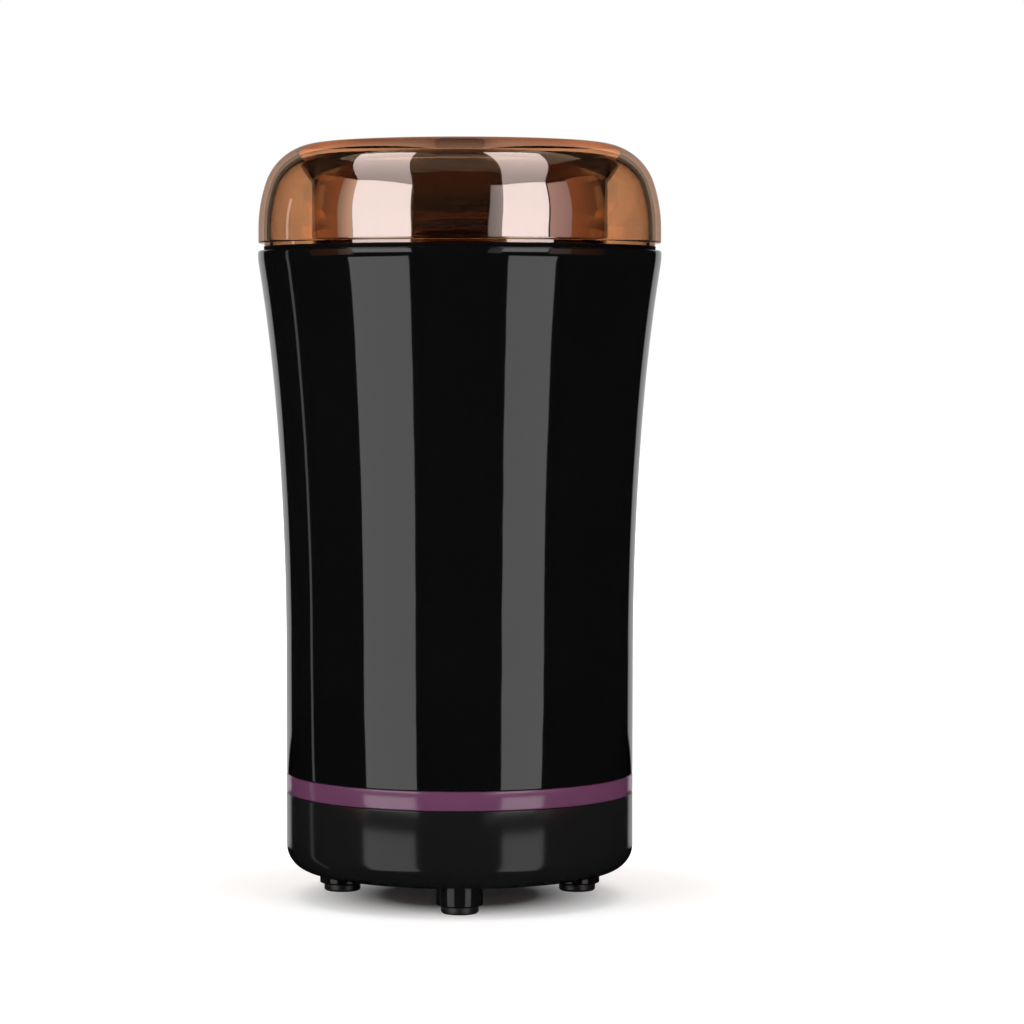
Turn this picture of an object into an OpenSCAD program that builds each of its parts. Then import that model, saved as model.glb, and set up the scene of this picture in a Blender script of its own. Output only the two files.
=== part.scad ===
// Electric blade coffee grinder, run by pressing its lid: flared body, tinted lid, four feet.
// The origin is on the table under the axis, +Z is up, -Y is the front and +Y the back.

/* [Base and feet] */
// Height of the underside of the base above the table
foot_h = 6.5; // [5.6:0.1:9]
// Thickness of a rubber pad under its foot
pad_h = 1.9; // [1.2:0.1:2.4]
// Radius of a rubber pad
pad_r = 4.35; // [4:0.05:4.8]
// Radius of a foot
boss_r = 5.35; // [5.1:0.05:6]
// Distance of each foot from the axis
foot_circle = 29; // [28:0.5:30]
// Height of the base from its underside to the ring
base_h = 18.5; // [17.5:0.1:21]
// Radius of the rounding under the base
base_round = 6; // [4.5:0.5:9]
// Wall of the base
base_wall = 2.2; // [1.8:0.1:2.6]
// Floor of the base
base_floor = 2.4; // [2:0.1:3]
// Number of cooling slots in the floor
vent_count = 7; // [3:2:7]
// Width of a cooling slot
vent_w = 2; // [1.5:0.1:2.6]
// Height of the coloured ring
ring_h = 4.5; // [3.5:0.1:6]

/* [Body] */
// Radius of the straight lower part
lower_r = 41.1; // [40.9:0.1:42.5]
// Radius of the body at the rim
rim_r = 47.6; // [47.2:0.1:49]
// Height of the body above the ring
shell_h = 123.35; // [118:0.05:132]
// Wall of the body
wall = 2.5; // [2.2:0.1:2.7]
// Wall of the body round the lid's spigot
rim_wall = 1.1; // [0.9:0.1:1.3]
// Depth of the rim that takes the lid
rim_depth = 6.4; // [6:0.1:8]
// Height above the ring where the flare begins
flare_start = 28.35; // [22:0.05:32]
// Height above the ring where the flare tightens
bend_h = 86.35; // [80:0.05:92]
// Share of the flare's width that is reached where it tightens
bend_share = 0.354; // [0.32:0.002:0.44]

/* [Lid] */
// Inset of the lid from the rim
lid_inset = 0.1; // [0:0.05:0.3]
// Height of the lid above its lower edge
lid_h = 23.5; // [22:0.5:30]
// Height of the lid's straight side above its lower edge
lid_side_h = 3.3; // [2:0.1:5]
// Radius of the curve of the lid's side
lid_side_r = 35; // [30:1:45]
// Turn of the lid's side before its shoulder in degrees
lid_side_turn = 18; // [14:1:22]
// Wall of the lid
lid_wall = 2.8; // [2.4:0.1:3]
// Thickness of the lid's top
lid_top_t = 3.6; // [3:0.1:4.5]
// Inset of the spigot from the lid's wall
spigot_inset = 1.35; // [1.2:0.05:1.6]
// Length of the spigot
spigot_h = 4.1; // [3.6:0.1:4.3]
// Travel of the lid when it is pressed
travel = 1.4; // [1:0.1:1.6]

/* [Bowl] */
// Space between the bowl's inside and the outside of the rim
bowl_inset = 14.6; // [14.4:0.1:15.6]
// Depth of the bowl below its rim
bowl_depth = 48.8; // [44:0.2:52]
// Corner radius between the bowl's wall and floor
bowl_round = 9; // [6:0.5:11]
// Sheet of the bowl
sheet = 0.6; // [0.5:0.1:0.8]
// Width of the bowl's rim
bowl_rim = 5.2; // [4:0.1:5.4]
// Wall of the carrier round the bowl
carrier_wall = 1.6; // [1.4:0.1:1.7]
// Floor of the carrier under the bowl
carrier_floor = 2.6; // [2.2:0.1:3.2]

/* [Blades] */
// Space between a blade's tip and the bowl's wall
tip_gap = 4; // [3:0.5:8]
// Width of a blade at its root
blade_w = 10; // [8:0.5:12]
// Thickness of a blade
blade_t = 1.2; // [1:0.1:1.6]
// Downward bend of the lower blade in degrees
lower_bend = 10; // [4:1:12]
// Upward bend of the upper blade in degrees
upper_bend = 16; // [8:1:24]
// Height of the hub under the blades
hub_h = 5; // [4:0.5:8]

/* [Motor] */
// Height of the lamination stack
stack_h = 20; // [16:1:22]
// Thickness of a field coil
coil_t = 3.8; // [3.4:0.1:4.4]
// Depth of the stack across the yoke
stack_d = 44; // [43:0.5:46]
// Radius of the rotor
rotor_r = 14.5; // [13.8:0.1:14.6]
// Air gap between the rotor and the poles
air_gap = 0.5; // [0.4:0.05:0.8]
// Radius of the motor shaft
shaft_r = 3; // [2.5:0.1:3]
// Number of rotor slots
slot_count = 12; // [8:2:14]

/* [Switch] */
// Width of the switch case
switch_w = 19.8; // [19:0.1:20.2]
// Thickness of the switch case
switch_t = 6.4; // [6:0.1:6.6]
// Height of the switch case
switch_h = 10.2; // [9:0.1:11]
// Rest angle of the switch lever in degrees
lever_a = 9.7; // [8:0.1:11]
// Width of the pushrod
rod_w = 6; // [5:0.5:6.5]
// Thickness of the pushrod
rod_t = 2.4; // [2:0.1:2.4]

/* [Cord inlet] */
// Radius of the cord's hole in the gland
cord_r = 3.1; // [2.6:0.1:3.3]
// Direction of the gland round the axis in degrees
gland_az = 45; // [40:1:50]

/* [Hidden] */
$fn = 96;

eps = 0.01;
// Gap between pieces that only lie side by side
gap = 0.3;
// Gap of a piece in its seat or of a screw in its hole
fit = 0.05;
// Gap of a shaft in its bearing
run_fit = 0.03;

// Heights of the outside, from the table up
base_z = foot_h;
ring_z = base_z + base_h;
shell_z = ring_z + ring_h;
shell_top = shell_z + shell_h;
lid_z = shell_top + travel + gap;
lid_top = lid_z + lid_h;
edge = 0.3;
rim_round = 0.6;
shell_in = lower_r - wall;
lid_r = rim_r - lid_inset;
bend_r = lower_r + bend_share * (rim_r - lower_r);
bowl_r = rim_r - bowl_inset;
blade_l = bowl_r - tip_gap;

// Flare of the body: two arcs that meet at the bend
flare_a = [lower_r, shell_z + flare_start];
flare_b = [bend_r, shell_z + bend_h];
flare_c = [rim_r, shell_top - rim_round];
bend_a = 2 * lean(flare_a, flare_b);
upper_half = lean(flare_b, flare_c) - bend_a;
upper_arc = norm(flare_c - flare_b) / (2 * sin(upper_half));
upper_c = flare_b + upper_arc * [cos(bend_a), -sin(bend_a)];
flare_steps = 10;

// Feet and the screws in them
feet = [-90, 14, 90, 166];
pad_plug = 5;
screw_r = 1.6;
head_r = 3;
head_h = 2.4;
head_z = pad_h + pad_plug + 2;
foot_recess = head_r + 0.4;
post_r = 3.6;
post_h = 9;
sleeve_in = shell_in - 0.2;
sleeve_t = 1.8;
sleeve_h = 4.4;
sleeve_drop = 1.5;
sleeve_slope = 1.6;
base_in = base_round - base_wall;

// Gland of the cord and pocket of the capacitor
gland_neck = cord_r + 1.2;
gland_flange = gland_neck + 1;
gland_flange_t = 1.4;
gland_z = ring_z - sleeve_drop - sleeve_slope - gland_flange - 0.2;
gland_out = 1.5;
gland_in = sqrt(pow(lower_r - base_wall, 2) - pow(gland_flange, 2)) - 0.1;
cap_w = 17;
cap_t = 7.5;
cap_h = 13;
cap_az = 225;
cap_circle = 23;
cap_z = base_z + base_floor;

// Deck at the rim, the bowl in it and the floor under it
deck_t = 1.6;
ledge_z = shell_top - rim_depth;
deck_z = ledge_z + deck_t;
bowl_top = deck_z + sheet;
bowl_floor = bowl_top - bowl_depth;
bowl_raise = 2;
bowl_hub_r = 11;
carrier_in = bowl_r + sheet + gap;
carrier_r = carrier_in + carrier_wall;
floor_top = bowl_floor - sheet - gap;
floor_z = floor_top - carrier_floor;
seal_r = 6.5;
lug_az = [-90, 30, 150];
lug_z = ledge_z - 9.6;
lug_t = 3;
lug_r = 3.2;
lug_circle = flare_r(lug_z) - wall - lug_r + 0.4;
small_screw_r = 1.3;
small_head_r = 2.4;
small_head_h = 1.8;
small_screw_l = 8;
gusset_h = 10;
gusset_w = 5.5;

// Skirt inside the lid, over the bowl's rim
skirt_r = bowl_r + 1.9;
skirt_t = 2;
skirt_z = bowl_top + travel + gap;
skirt_flare = 9.2;
skirt_flare_w = 3.1;

// Motor, hung from the carrier's floor by two screws
post_drop = 7.5;
mount_t = 2;
bracket_t = 2;
mount_z = floor_z - post_drop - mount_t;
bracket_top = mount_z - bracket_t;
leg_h = 14;
stack_top = bracket_top - leg_h;
stack_z = stack_top - stack_h;
low_leg_h = 17.5;
low_top = stack_z - low_leg_h;
low_z = low_top - bracket_t;
yoke = 6;
side = 6.5;
pole_w = 16;
shoe_t = 3;
coil_over = 5;
coil_in = sqrt(pow(rotor_r + air_gap + shoe_t, 2) - pow(pole_w / 2, 2)) + gap;
coil_out = coil_in + coil_t;
stack_w = 2 * (coil_out + gap + side);
motor_xy = [stack_w / 2 - 3.3, -(stack_d / 2 - 3)];
motor_az = atan2(motor_xy[1], motor_xy[0]);
motor_circle = norm(motor_xy);
bearing_r = 5.5;
bearing_h = 5.6;
seat_r = 7.2;
brush_w = 6;
brush_h = 5;
comm_r = 9;
comm_h = 10;
comm_z = stack_z - coil_over - gap - comm_h;
brush_z = comm_z + comm_h / 2;
brush_l = 9;
holder_l = 14;
holder_t = 0.7;
fan_r = 20;
fan_vanes = 9;

// Blade stack above the bowl's floor
seal_top = bowl_floor + bowl_raise + 2.6;
hub_z = seal_top + 0.6;
hub_r = 6;
stud_r = shaft_r - 0.5;
lower_blade_z = hub_z + hub_h;
upper_blade_z = lower_blade_z + blade_t;
nut_z = upper_blade_z + blade_t;
nut_h = 3.4;
nut_r = 4.6;

// Pushrod, its spring, and the switch that it works
rod_y = carrier_r + 0.5;
rod_out = rod_y + rod_t;
arm_t = 2.6;
arm_top = ledge_z - 1;
nub_in = bowl_r + bowl_rim + 1.2;
nub_out = nub_in + 3.2;
nub_top = deck_z + 0.8;
tab_gap = 0.05;
spring_y = rod_out + 2.1;
spring_r = 1.8;
spring_wire = 0.6;
spring_h = 9;
shelf_top = arm_top - arm_t - spring_h;
shelf_t = 2;
rail_t = 1.7;
switch_y = carrier_r - 5.3;
plate_y = switch_y - 2;
plate_w = switch_w + 2.2;
switch_drop = 23.3;
switch_top = floor_z - switch_drop;
switch_z = switch_top - switch_h;
switch_mid = switch_y + switch_t / 2;
pivot_x = 8.4;
pivot_z = switch_top + 1.1;
pin_r = 0.5;
lever_t = 0.4;
lever_w = 3.6;
lever_l = 17.6;
foot_z = pivot_z + (pivot_x + rod_w / 2) * tan(lever_a) + lever_t / 2 / cos(lever_a) + 0.08;
foot_t = 3;
plunger_x = 3.4;
plunger_half = 0.9;
plunger_top = pivot_z + (pivot_x - plunger_x - plunger_half) * tan(lever_a)
    - lever_t / 2 / cos(lever_a) - 0.06;
switch_hole_x = 4.75;
switch_hole_z = switch_z + 2.8;
tab_l = 4;

// Angle from the vertical of the line from a to b
function lean(a, b) = atan2(b[0] - a[0], b[1] - a[1]);

// Points of the arc from a to b that leaves a at angle s, moved inwards by d
function bow(a, b, s, d) =
    let (half = lean(a, b) - s, r = norm(b - a) / (2 * sin(half)))
    [for (i = [1:flare_steps])
        let (t = half * i / flare_steps)
        a + 2 * r * sin(t) * [sin(s + t), cos(s + t)] - d * [cos(s + 2 * t), -sin(s + 2 * t)]];

// Points of a circular arc round c from angle u to angle v
function arc(c, r, u, v, n) =
    [for (i = [0:n]) let (t = u + (v - u) * i / n) c + r * [cos(t), sin(t)]];

// Radius of the outside of the body at height z in the upper part of the flare
function flare_r(z) = upper_c[0] - sqrt(upper_arc * upper_arc - pow(z - upper_c[1], 2));

// Side of the body moved inwards by d, from the ring to the rim
function side_points(d) = concat([[lower_r - d, shell_z], flare_a - [d, 0]],
    bow(flare_a, flare_b, 0, d), bow(flare_b, flare_c, bend_a, d));

// Copies its children to each foot
module at_feet() {
    for (a = feet) rotate(a) translate([foot_circle, 0, 0]) children();
}

// Copies its children to the two motor screws
module at_motor_screws() {
    for (a = [motor_az, motor_az + 180]) rotate(a) translate([motor_circle, 0, 0]) children();
}

// Pan-head screw that points up, with the underside of its head at z = 0
module screw(r, l, head, head_t) {
    cylinder(r = r, h = l);
    difference() {
        translate([0, 0, -head_t]) cylinder(r1 = head * 0.8, r2 = head, h = head_t);
        for (a = [0, 90]) rotate(a) translate([-head * 0.55, -r / 4, -head_t - 1])
            cube([head * 1.1, r / 2, 1 + head_t * 0.4]);
    }
}

// Tube along a curve through four control points, with rings square to the curve
module lead(p, r, up) {
    sides = 8;
    rings = 14;
    function at(t) = pow(1 - t, 3) * p[0] + 3 * t * pow(1 - t, 2) * p[1]
        + 3 * t * t * (1 - t) * p[2] + pow(t, 3) * p[3];
    function unit(v) = v / norm(v);
    function along(t) = unit(pow(1 - t, 2) * (p[1] - p[0]) + 2 * t * (1 - t) * (p[2] - p[1])
        + t * t * (p[3] - p[2]));
    points = [for (i = [0:rings])
        let (d = along(i / rings), u = unit(cross(d, up)), v = cross(d, u))
        for (k = [0:sides - 1]) at(i / rings) + r * (cos(k * 360 / sides) * u + sin(k * 360 / sides) * v)];
    faces = concat(
        [[for (k = [0:sides - 1]) k]],
        [for (i = [0:rings - 1], k = [0:sides - 1])
            let (m = i * sides, n = (k + 1) % sides) [m + k, m + sides + k, m + sides + n, m + n]],
        [[for (k = [sides - 1:-1:0]) rings * sides + k]]);
    polyhedron(points, faces, convexity = 4);
}

module body_shell() color("#0c0c0d") {
    side = side_points(0);
    inside = side_points(wall);
    last = 2 * flare_steps + 1;
    rotate_extrude() polygon(concat(
        [[lower_r - wall, shell_z], [lower_r - edge, shell_z], [lower_r, shell_z + edge]],
        [for (i = [1:last]) side[i]],
        arc([rim_r - rim_round, shell_top - rim_round], rim_round, 20, 90, 3),
        [[rim_r - rim_wall, shell_top], [flare_r(ledge_z) - rim_wall, ledge_z]],
        [for (i = [last:-1:1]) if (inside[i][1] < ledge_z - eps) inside[i]]));
    // Screw posts over the feet, tied to the wall by ribs above the base's sleeve
    at_feet() {
        difference() {
            translate([0, 0, shell_z]) cylinder(r = post_r, h = post_h);
            translate([0, 0, shell_z - 1]) cylinder(r = screw_r + fit, h = post_h);
        }
        translate([post_r - 1, -0.8, shell_z + sleeve_h + 0.6])
            cube([shell_in - foot_circle - post_r + 2, 1.6, post_h - sleeve_h - 0.6]);
    }
    // Lugs that take the carrier's screws from below
    for (a = lug_az) rotate(a) difference() {
        translate([0, 0, lug_z]) {
            translate([lug_circle, 0, 0]) cylinder(r = lug_r, h = lug_t);
            translate([lug_circle, -lug_r, 0])
                cube([flare_r(lug_z) - wall + 0.6 - lug_circle, 2 * lug_r, lug_t]);
        }
        translate([lug_circle, 0, lug_z - 1]) cylinder(r = small_screw_r + fit, h = lug_t + 2);
    }
}

module trim_ring() color("#6a4560") {
    rotate_extrude() polygon([
        [sleeve_in + 0.15, ring_z], [lower_r - edge, ring_z], [lower_r, ring_z + edge],
        [lower_r, shell_z - edge], [lower_r - edge, shell_z], [sleeve_in + 0.15, shell_z]]);
}

module base_cup() color("#101011") {
    difference() {
        union() {
            rotate_extrude() polygon(concat(
                [[0, base_z]],
                arc([lower_r - base_round, base_z + base_round], base_round, -90, 0, 10),
                [[lower_r, ring_z - edge], [lower_r - edge, ring_z], [sleeve_in, ring_z],
                    [sleeve_in, shell_z + sleeve_h], [sleeve_in - sleeve_t, shell_z + sleeve_h],
                    [sleeve_in - sleeve_t, ring_z - sleeve_drop],
                    [lower_r - base_wall, ring_z - sleeve_drop - sleeve_slope]],
                arc([lower_r - base_round, base_z + base_floor + base_in], base_in, 0, -90, 8),
                [[0, base_z + base_floor]]));
            at_feet() {
                translate([0, 0, pad_h]) cylinder(r = boss_r, h = base_z + base_floor - pad_h);
                translate([0, 0, base_z]) cylinder(r = post_r + 1, h = shell_z - base_z);
            }
            // Pocket of the capacitor
            rotate(cap_az) for (y = [-cap_w / 2 - 1.5, cap_w / 2 + 0.2])
                translate([cap_circle - 1, y, base_z + 1]) cube([cap_t + 2, 1.3, base_floor + 4]);
        }
        at_feet() {
            translate([0, 0, -1]) cylinder(r = foot_recess, h = head_z + head_h + 1);
            cylinder(r = screw_r + fit, h = shell_z + 1);
        }
        for (i = [0:vent_count - 1]) translate([0, (i - (vent_count - 1) / 2) * 4.6, base_z - 1])
            vent_slot(17 - 1.1 * abs(i - (vent_count - 1) / 2));
        rotate(gland_az) translate([0, 0, gland_z]) rotate([0, 90, 0]) {
            translate([0, 0, gland_in - 6]) cylinder(r = gland_neck, h = 14);
            translate([0, 0, gland_in - 6]) cylinder(r = gland_flange + gap, h = 6);
        }
    }
}

// Cooling slot with round ends through the floor, half as long as l on each side
module vent_slot(l) {
    h = base_floor + 2;
    translate([-l / 2, -vent_w / 2, 0]) cube([l, vent_w, h]);
    for (x = [-l / 2, l / 2]) translate([x, 0, 0]) cylinder(r = vent_w / 2, h = h);
}

module foot_pads() color("#1c1b1b") {
    at_feet() {
        rotate_extrude() polygon([[0, 0], [pad_r - 0.4, 0], [pad_r, 0.4], [pad_r, pad_h],
            [foot_recess - fit, pad_h], [foot_recess - fit, pad_h + pad_plug], [0, pad_h + pad_plug]]);
    }
}

module base_screws() color("#b9bcc0") {
    at_feet() translate([0, 0, head_z + head_h])
        screw(screw_r, shell_z + post_h - 2 - head_z - head_h, head_r, head_h);
}

module cord_gland() color("#161616") {
    rotate(gland_az) translate([0, 0, gland_z]) rotate([0, 90, 0]) difference() {
        union() {
            translate([0, 0, gland_in - gland_flange_t]) {
                cylinder(r = gland_flange, h = gland_flange_t);
                cylinder(r = gland_neck - fit, h = lower_r - gland_in + 2);
            }
            translate([0, 0, lower_r + 0.05])
                cylinder(r1 = gland_flange, r2 = gland_flange - 0.5, h = gland_out);
        }
        translate([0, 0, gland_in - 3]) cylinder(r = cord_r, h = lower_r - gland_in + 8);
    }
}

module bowl_carrier() color("#121213") {
    difference() {
        union() {
            // Deck, cup wall and floor
            rotate_extrude() polygon([
                [0, floor_z], [carrier_r - 1.5, floor_z], [carrier_r, floor_z + 1.5],
                [carrier_r, ledge_z], [flare_r(ledge_z) - rim_wall - 0.2, ledge_z],
                [flare_r(deck_z) - rim_wall - 0.2, deck_z], [carrier_in, deck_z],
                [carrier_in, floor_top + 1], [carrier_in - 1, floor_top], [0, floor_top]]);
            // Bosses over the lugs
            for (a = lug_az) rotate(a) translate([lug_circle, 0, lug_z + lug_t])
                cylinder(r = lug_r - 0.2, h = ledge_z - lug_z - lug_t + eps);
            // Gussets under the deck
            for (a = [-60, -30, 0, 60, 120, 180, 210, 240]) rotate(a)
                rotate([90, 0, 0]) translate([0, 0, -0.7]) linear_extrude(1.4)
                    polygon([[carrier_r - 0.5, ledge_z + 0.2], [carrier_r + gusset_w, ledge_z + 0.2],
                        [carrier_r, ledge_z - gusset_h], [carrier_r - 0.5, ledge_z - gusset_h]]);
            // Rails on both sides of the pushrod
            for (x = [-rod_w / 2 - 0.3 - rail_t, rod_w / 2 + 0.3])
                translate([x, carrier_r - 1, floor_z]) cube([rail_t, rod_t + 1.4, ledge_z - floor_z + 0.2]);
            // Shelf under the spring
            translate([-rod_w / 2 - 0.3 - rail_t, rod_out + 0.25, shelf_top - shelf_t])
                cube([rod_w + 0.6 + 2 * rail_t, 3.1, shelf_t]);
            for (x = [-rod_w / 2 - 0.3 - rail_t, rod_w / 2 + 0.3])
                translate([x, carrier_r, shelf_top - shelf_t])
                    cube([rail_t, rod_out - carrier_r + 1, shelf_t]);
            // Posts for the motor and plate for the switch
            at_motor_screws() translate([0, 0, floor_z - post_drop])
                cylinder(r = 4.2, h = post_drop + 0.5);
            translate([-plate_w / 2, plate_y, switch_z - 1])
                cube([plate_w, switch_y - plate_y, floor_z - switch_z + 1.5]);
        }
        translate([0, 0, floor_z - 1]) cylinder(r = seal_r + fit, h = carrier_floor + 2);
        at_motor_screws() translate([0, 0, floor_z - post_drop - 1])
            cylinder(r = screw_r + fit, h = post_drop + 1);
        for (a = lug_az) rotate(a) translate([lug_circle, 0, lug_z])
            cylinder(r = small_screw_r + fit, h = small_screw_l + 0.2);
        // Hole of the deck for the pushrod's nub and the lid's tab
        translate([-rod_w / 2 - 0.4, nub_in - 0.4, ledge_z - 1])
            cube([rod_w + 0.8, nub_out - nub_in + 0.8, deck_t + 2]);
        for (x = [-1, 1]) translate([x * switch_hole_x, plate_y - 1, switch_hole_z])
            rotate([-90, 0, 0]) cylinder(r = 1.05, h = 4);
    }
}

module carrier_screws() color("#b9bcc0") {
    for (a = lug_az) rotate(a) translate([lug_circle, 0, lug_z])
        screw(small_screw_r, small_screw_l, small_head_r, small_head_h);
}

module grinding_bowl() color("#c9ccd0") {
    hub = bowl_floor + bowl_raise;
    rotate_extrude() polygon(concat(
        [[seal_r + fit, hub - sheet], [bowl_hub_r - 2, hub - sheet], [bowl_hub_r, bowl_floor - sheet]],
        arc([bowl_r - bowl_round, bowl_floor + bowl_round], bowl_round + sheet, -90, 0, 10),
        [[bowl_r + sheet, deck_z], [bowl_r + bowl_rim, deck_z], [bowl_r + bowl_rim, bowl_top],
            [bowl_r + 1, bowl_top], [bowl_r, bowl_top - 1]],
        arc([bowl_r - bowl_round, bowl_floor + bowl_round], bowl_round, 0, -90, 10),
        [[bowl_hub_r, bowl_floor], [bowl_hub_r - 2, hub], [seal_r + fit, hub]]));
}

module shaft_seal() color("#2a2a2c") {
    hub = bowl_floor + bowl_raise;
    rotate_extrude() polygon([
        [shaft_r + fit, floor_z], [seal_r, floor_z], [seal_r, hub + 0.02], [seal_r + 2, hub + 0.02],
        [seal_r + 2, hub + 0.8], [seal_r, hub + 1.4], [shaft_r + 1.4, seal_top],
        [shaft_r + fit, seal_top]]);
}

// Outline of a motor bracket: a bar between the screws with round ends and a round middle
module bracket_outline() {
    circle(r = 11);
    rotate(motor_az) {
        square([2 * motor_circle, 8], center = true);
        for (x = [-motor_circle, motor_circle]) translate([x, 0]) circle(r = 4.6);
    }
}

module upper_bracket() color("#a9adb1") {
    difference() {
        union() {
            translate([0, 0, bracket_top]) linear_extrude(bracket_t) bracket_outline();
            translate([0, 0, bracket_top]) cylinder(r = seat_r, h = bearing_h + 1.4);
            at_motor_screws() translate([0, 0, stack_top]) cylinder(r = 4, h = leg_h + 0.5);
        }
        translate([0, 0, bracket_top - 1]) cylinder(r = bearing_r + 0.01, h = bearing_h + 1);
        translate([0, 0, bracket_top]) cylinder(r = shaft_r + 0.6, h = bearing_h + 4);
        at_motor_screws() translate([0, 0, stack_top - 1]) cylinder(r = screw_r + fit, h = leg_h + 6);
    }
}

module lower_bracket() color("#a9adb1") {
    difference() {
        union() {
            translate([0, 0, low_z]) linear_extrude(bracket_t) {
                bracket_outline();
                square([2 * (brush_w / 2 + 2), 2 * (comm_r + holder_l)], center = true);
            }
            translate([0, 0, low_top - bearing_h - 1.4]) cylinder(r = seat_r, h = bearing_h + 1.4);
            at_motor_screws() translate([0, 0, low_top - 0.5]) cylinder(r = 4, h = low_leg_h + 0.5);
            // Pads under the brush holders
            for (s = [-1, 1])
                translate([-brush_w / 2 - 2, s * (comm_r + holder_l / 2 + 1.6) - 4, low_top - 0.5])
                cube([brush_w + 4, 8, brush_z - brush_h / 2 - holder_t - 0.1 - low_top + 0.5]);
        }
        translate([0, 0, low_top - bearing_h]) cylinder(r = bearing_r + 0.01, h = bearing_h + 1);
        translate([0, 0, low_z - 12]) cylinder(r = shaft_r + 0.6, h = 20);
        at_motor_screws() translate([0, 0, low_z - 1]) cylinder(r = screw_r + fit, h = low_leg_h + 6);
    }
}

// Sintered bush with a running fit on the shaft
module bush() {
    difference() {
        cylinder(r = bearing_r, h = bearing_h);
        translate([0, 0, -1]) cylinder(r = shaft_r + run_fit, h = bearing_h + 2);
    }
}

module upper_bearing() color("#a8763a") {
    translate([0, 0, bracket_top]) bush();
}

module lower_bearing() color("#a8763a") {
    translate([0, 0, low_top - bearing_h]) bush();
}

module motor_mounts() color("#232324") {
    at_motor_screws() translate([0, 0, mount_z]) difference() {
        cylinder(r = 4.6, h = mount_t);
        translate([0, 0, -1]) cylinder(r = screw_r + fit, h = mount_t + 2);
    }
}

module motor_screws() color("#b9bcc0") {
    at_motor_screws() translate([0, 0, low_z]) screw(screw_r, floor_z - low_z - 1, head_r, head_h);
}

module stator_core() color("#5c6066") {
    bore_r = rotor_r + air_gap;
    translate([0, 0, stack_z]) linear_extrude(stack_h) difference() {
        union() {
            difference() {
                intersection() {
                    square([stack_w, stack_d], center = true);
                    circle(r = norm([stack_w, stack_d]) / 2 - 2);
                }
                square([stack_w - 2 * side, stack_d - 2 * yoke], center = true);
            }
            intersection() {
                union() {
                    square([stack_w - 2, pole_w], center = true);
                    difference() {
                        circle(r = bore_r + shoe_t);
                        square([2 * bore_r * cos(58), 4 * bore_r], center = true);
                    }
                }
                square([stack_w - 2, stack_d - 2], center = true);
            }
        }
        circle(r = bore_r);
        rotate(motor_az) for (x = [-motor_circle, motor_circle])
            translate([x, 0]) circle(r = screw_r + fit);
    }
}

module field_coils() color("#a5521f") {
    coil_y = stack_d / 2 - yoke - 0.4;
    for (s = [-1, 1]) mirror([s < 0 ? 1 : 0, 0, 0]) difference() {
        translate([coil_in, -coil_y, stack_z - coil_over])
            cube([coil_t, 2 * coil_y, stack_h + 2 * coil_over]);
        translate([coil_in - 1, -pole_w / 2 - 0.3, stack_z - 0.2])
            cube([coil_t + 2, pole_w + 2 * gap, stack_h + 0.4]);
        for (y = [-coil_y, coil_y], z = [stack_z - coil_over, stack_top + coil_over])
            translate([coil_in - 1, y, z]) rotate([45, 0, 0]) translate([0, -1.6, -1.6])
                cube([coil_t + 2, 3.2, 3.2]);
    }
}

module thermal_fuse() color("#d8d4c8") {
    translate([-5, -stack_d / 2 - 3, stack_z + 3]) cube([10, 3, 13]);
}

module brush_holders() color("#b08d3c") {
    w = brush_w + 2 * (holder_t + 0.1);
    h = brush_h + 2 * (holder_t + 0.1);
    for (a = [90, 270]) rotate(a) difference() {
        translate([comm_r + 1.2, -w / 2, brush_z - h / 2]) cube([holder_l, w, h]);
        translate([comm_r, -brush_w / 2 - 0.1, brush_z - brush_h / 2 - 0.1])
            cube([holder_l + 1.2 - holder_t, brush_w + 0.2, brush_h + 0.2]);
    }
}

module carbon_brushes() color("#202124") {
    for (a = [90, 270]) rotate(a) difference() {
        translate([comm_r - 1, -brush_w / 2, brush_z - brush_h / 2]) cube([brush_l, brush_w, brush_h]);
        translate([0, 0, brush_z - brush_h]) cylinder(r = comm_r + fit, h = 2 * brush_h);
    }
}

module brush_springs() color("#c4c7cb") {
    for (a = [90, 270])
        rotate(a) translate([comm_r - 1 + brush_l, 0, brush_z]) rotate([0, 90, 0]) difference() {
        cylinder(r = 2.1, h = 2.2 + holder_l - brush_l - holder_t);
        translate([0, 0, -1]) cylinder(r = 1.5, h = holder_l);
    }
}

module switch_body() color("#26262a") {
    difference() {
        union() {
            translate([-switch_w / 2, switch_y, switch_z]) cube([switch_w, switch_t, switch_h]);
            // Ears and pin of the lever
            for (s = [-1, 1])
                translate([pivot_x - 1, switch_mid + s * (lever_w / 2 + 0.65) - 0.4, switch_top - 0.5])
                cube([2, 0.8, pivot_z - switch_top + 1.5]);
            translate([pivot_x, switch_mid - lever_w / 2 - 1, pivot_z]) rotate([-90, 0, 0])
                cylinder(r = pin_r, h = lever_w + 2);
        }
        translate([plunger_x - plunger_half - 0.1, switch_mid - 1.1, switch_top - 4])
            cube([2 * plunger_half + 0.2, 2.2, 5]);
        for (x = [-1, 1]) translate([x * switch_hole_x, switch_y - 1, switch_hole_z])
            rotate([-90, 0, 0]) cylinder(r = 1.05, h = switch_t + 2);
    }
}

module switch_terminals() color("#c9a227") {
    for (x = [-8, 0, 8]) translate([x - 1.6, switch_mid - 0.3, switch_z - tab_l]) difference() {
        cube([3.2, 0.6, tab_l]);
        translate([1.6, -1, 1.4]) rotate([-90, 0, 0]) cylinder(r = 0.7, h = 3);
    }
}

module switch_screws() color("#b9bcc0") {
    for (x = [-1, 1]) translate([x * switch_hole_x, switch_y + switch_t, switch_hole_z])
        rotate([90, 0, 0]) screw(1, switch_t + 2, 1.8, 1.1);
}

module suppressor_capacitor() color("#d9b23c") {
    rotate(cap_az) translate([cap_circle, -cap_w / 2, cap_z]) cube([cap_t, cap_w, cap_h]);
}

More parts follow.
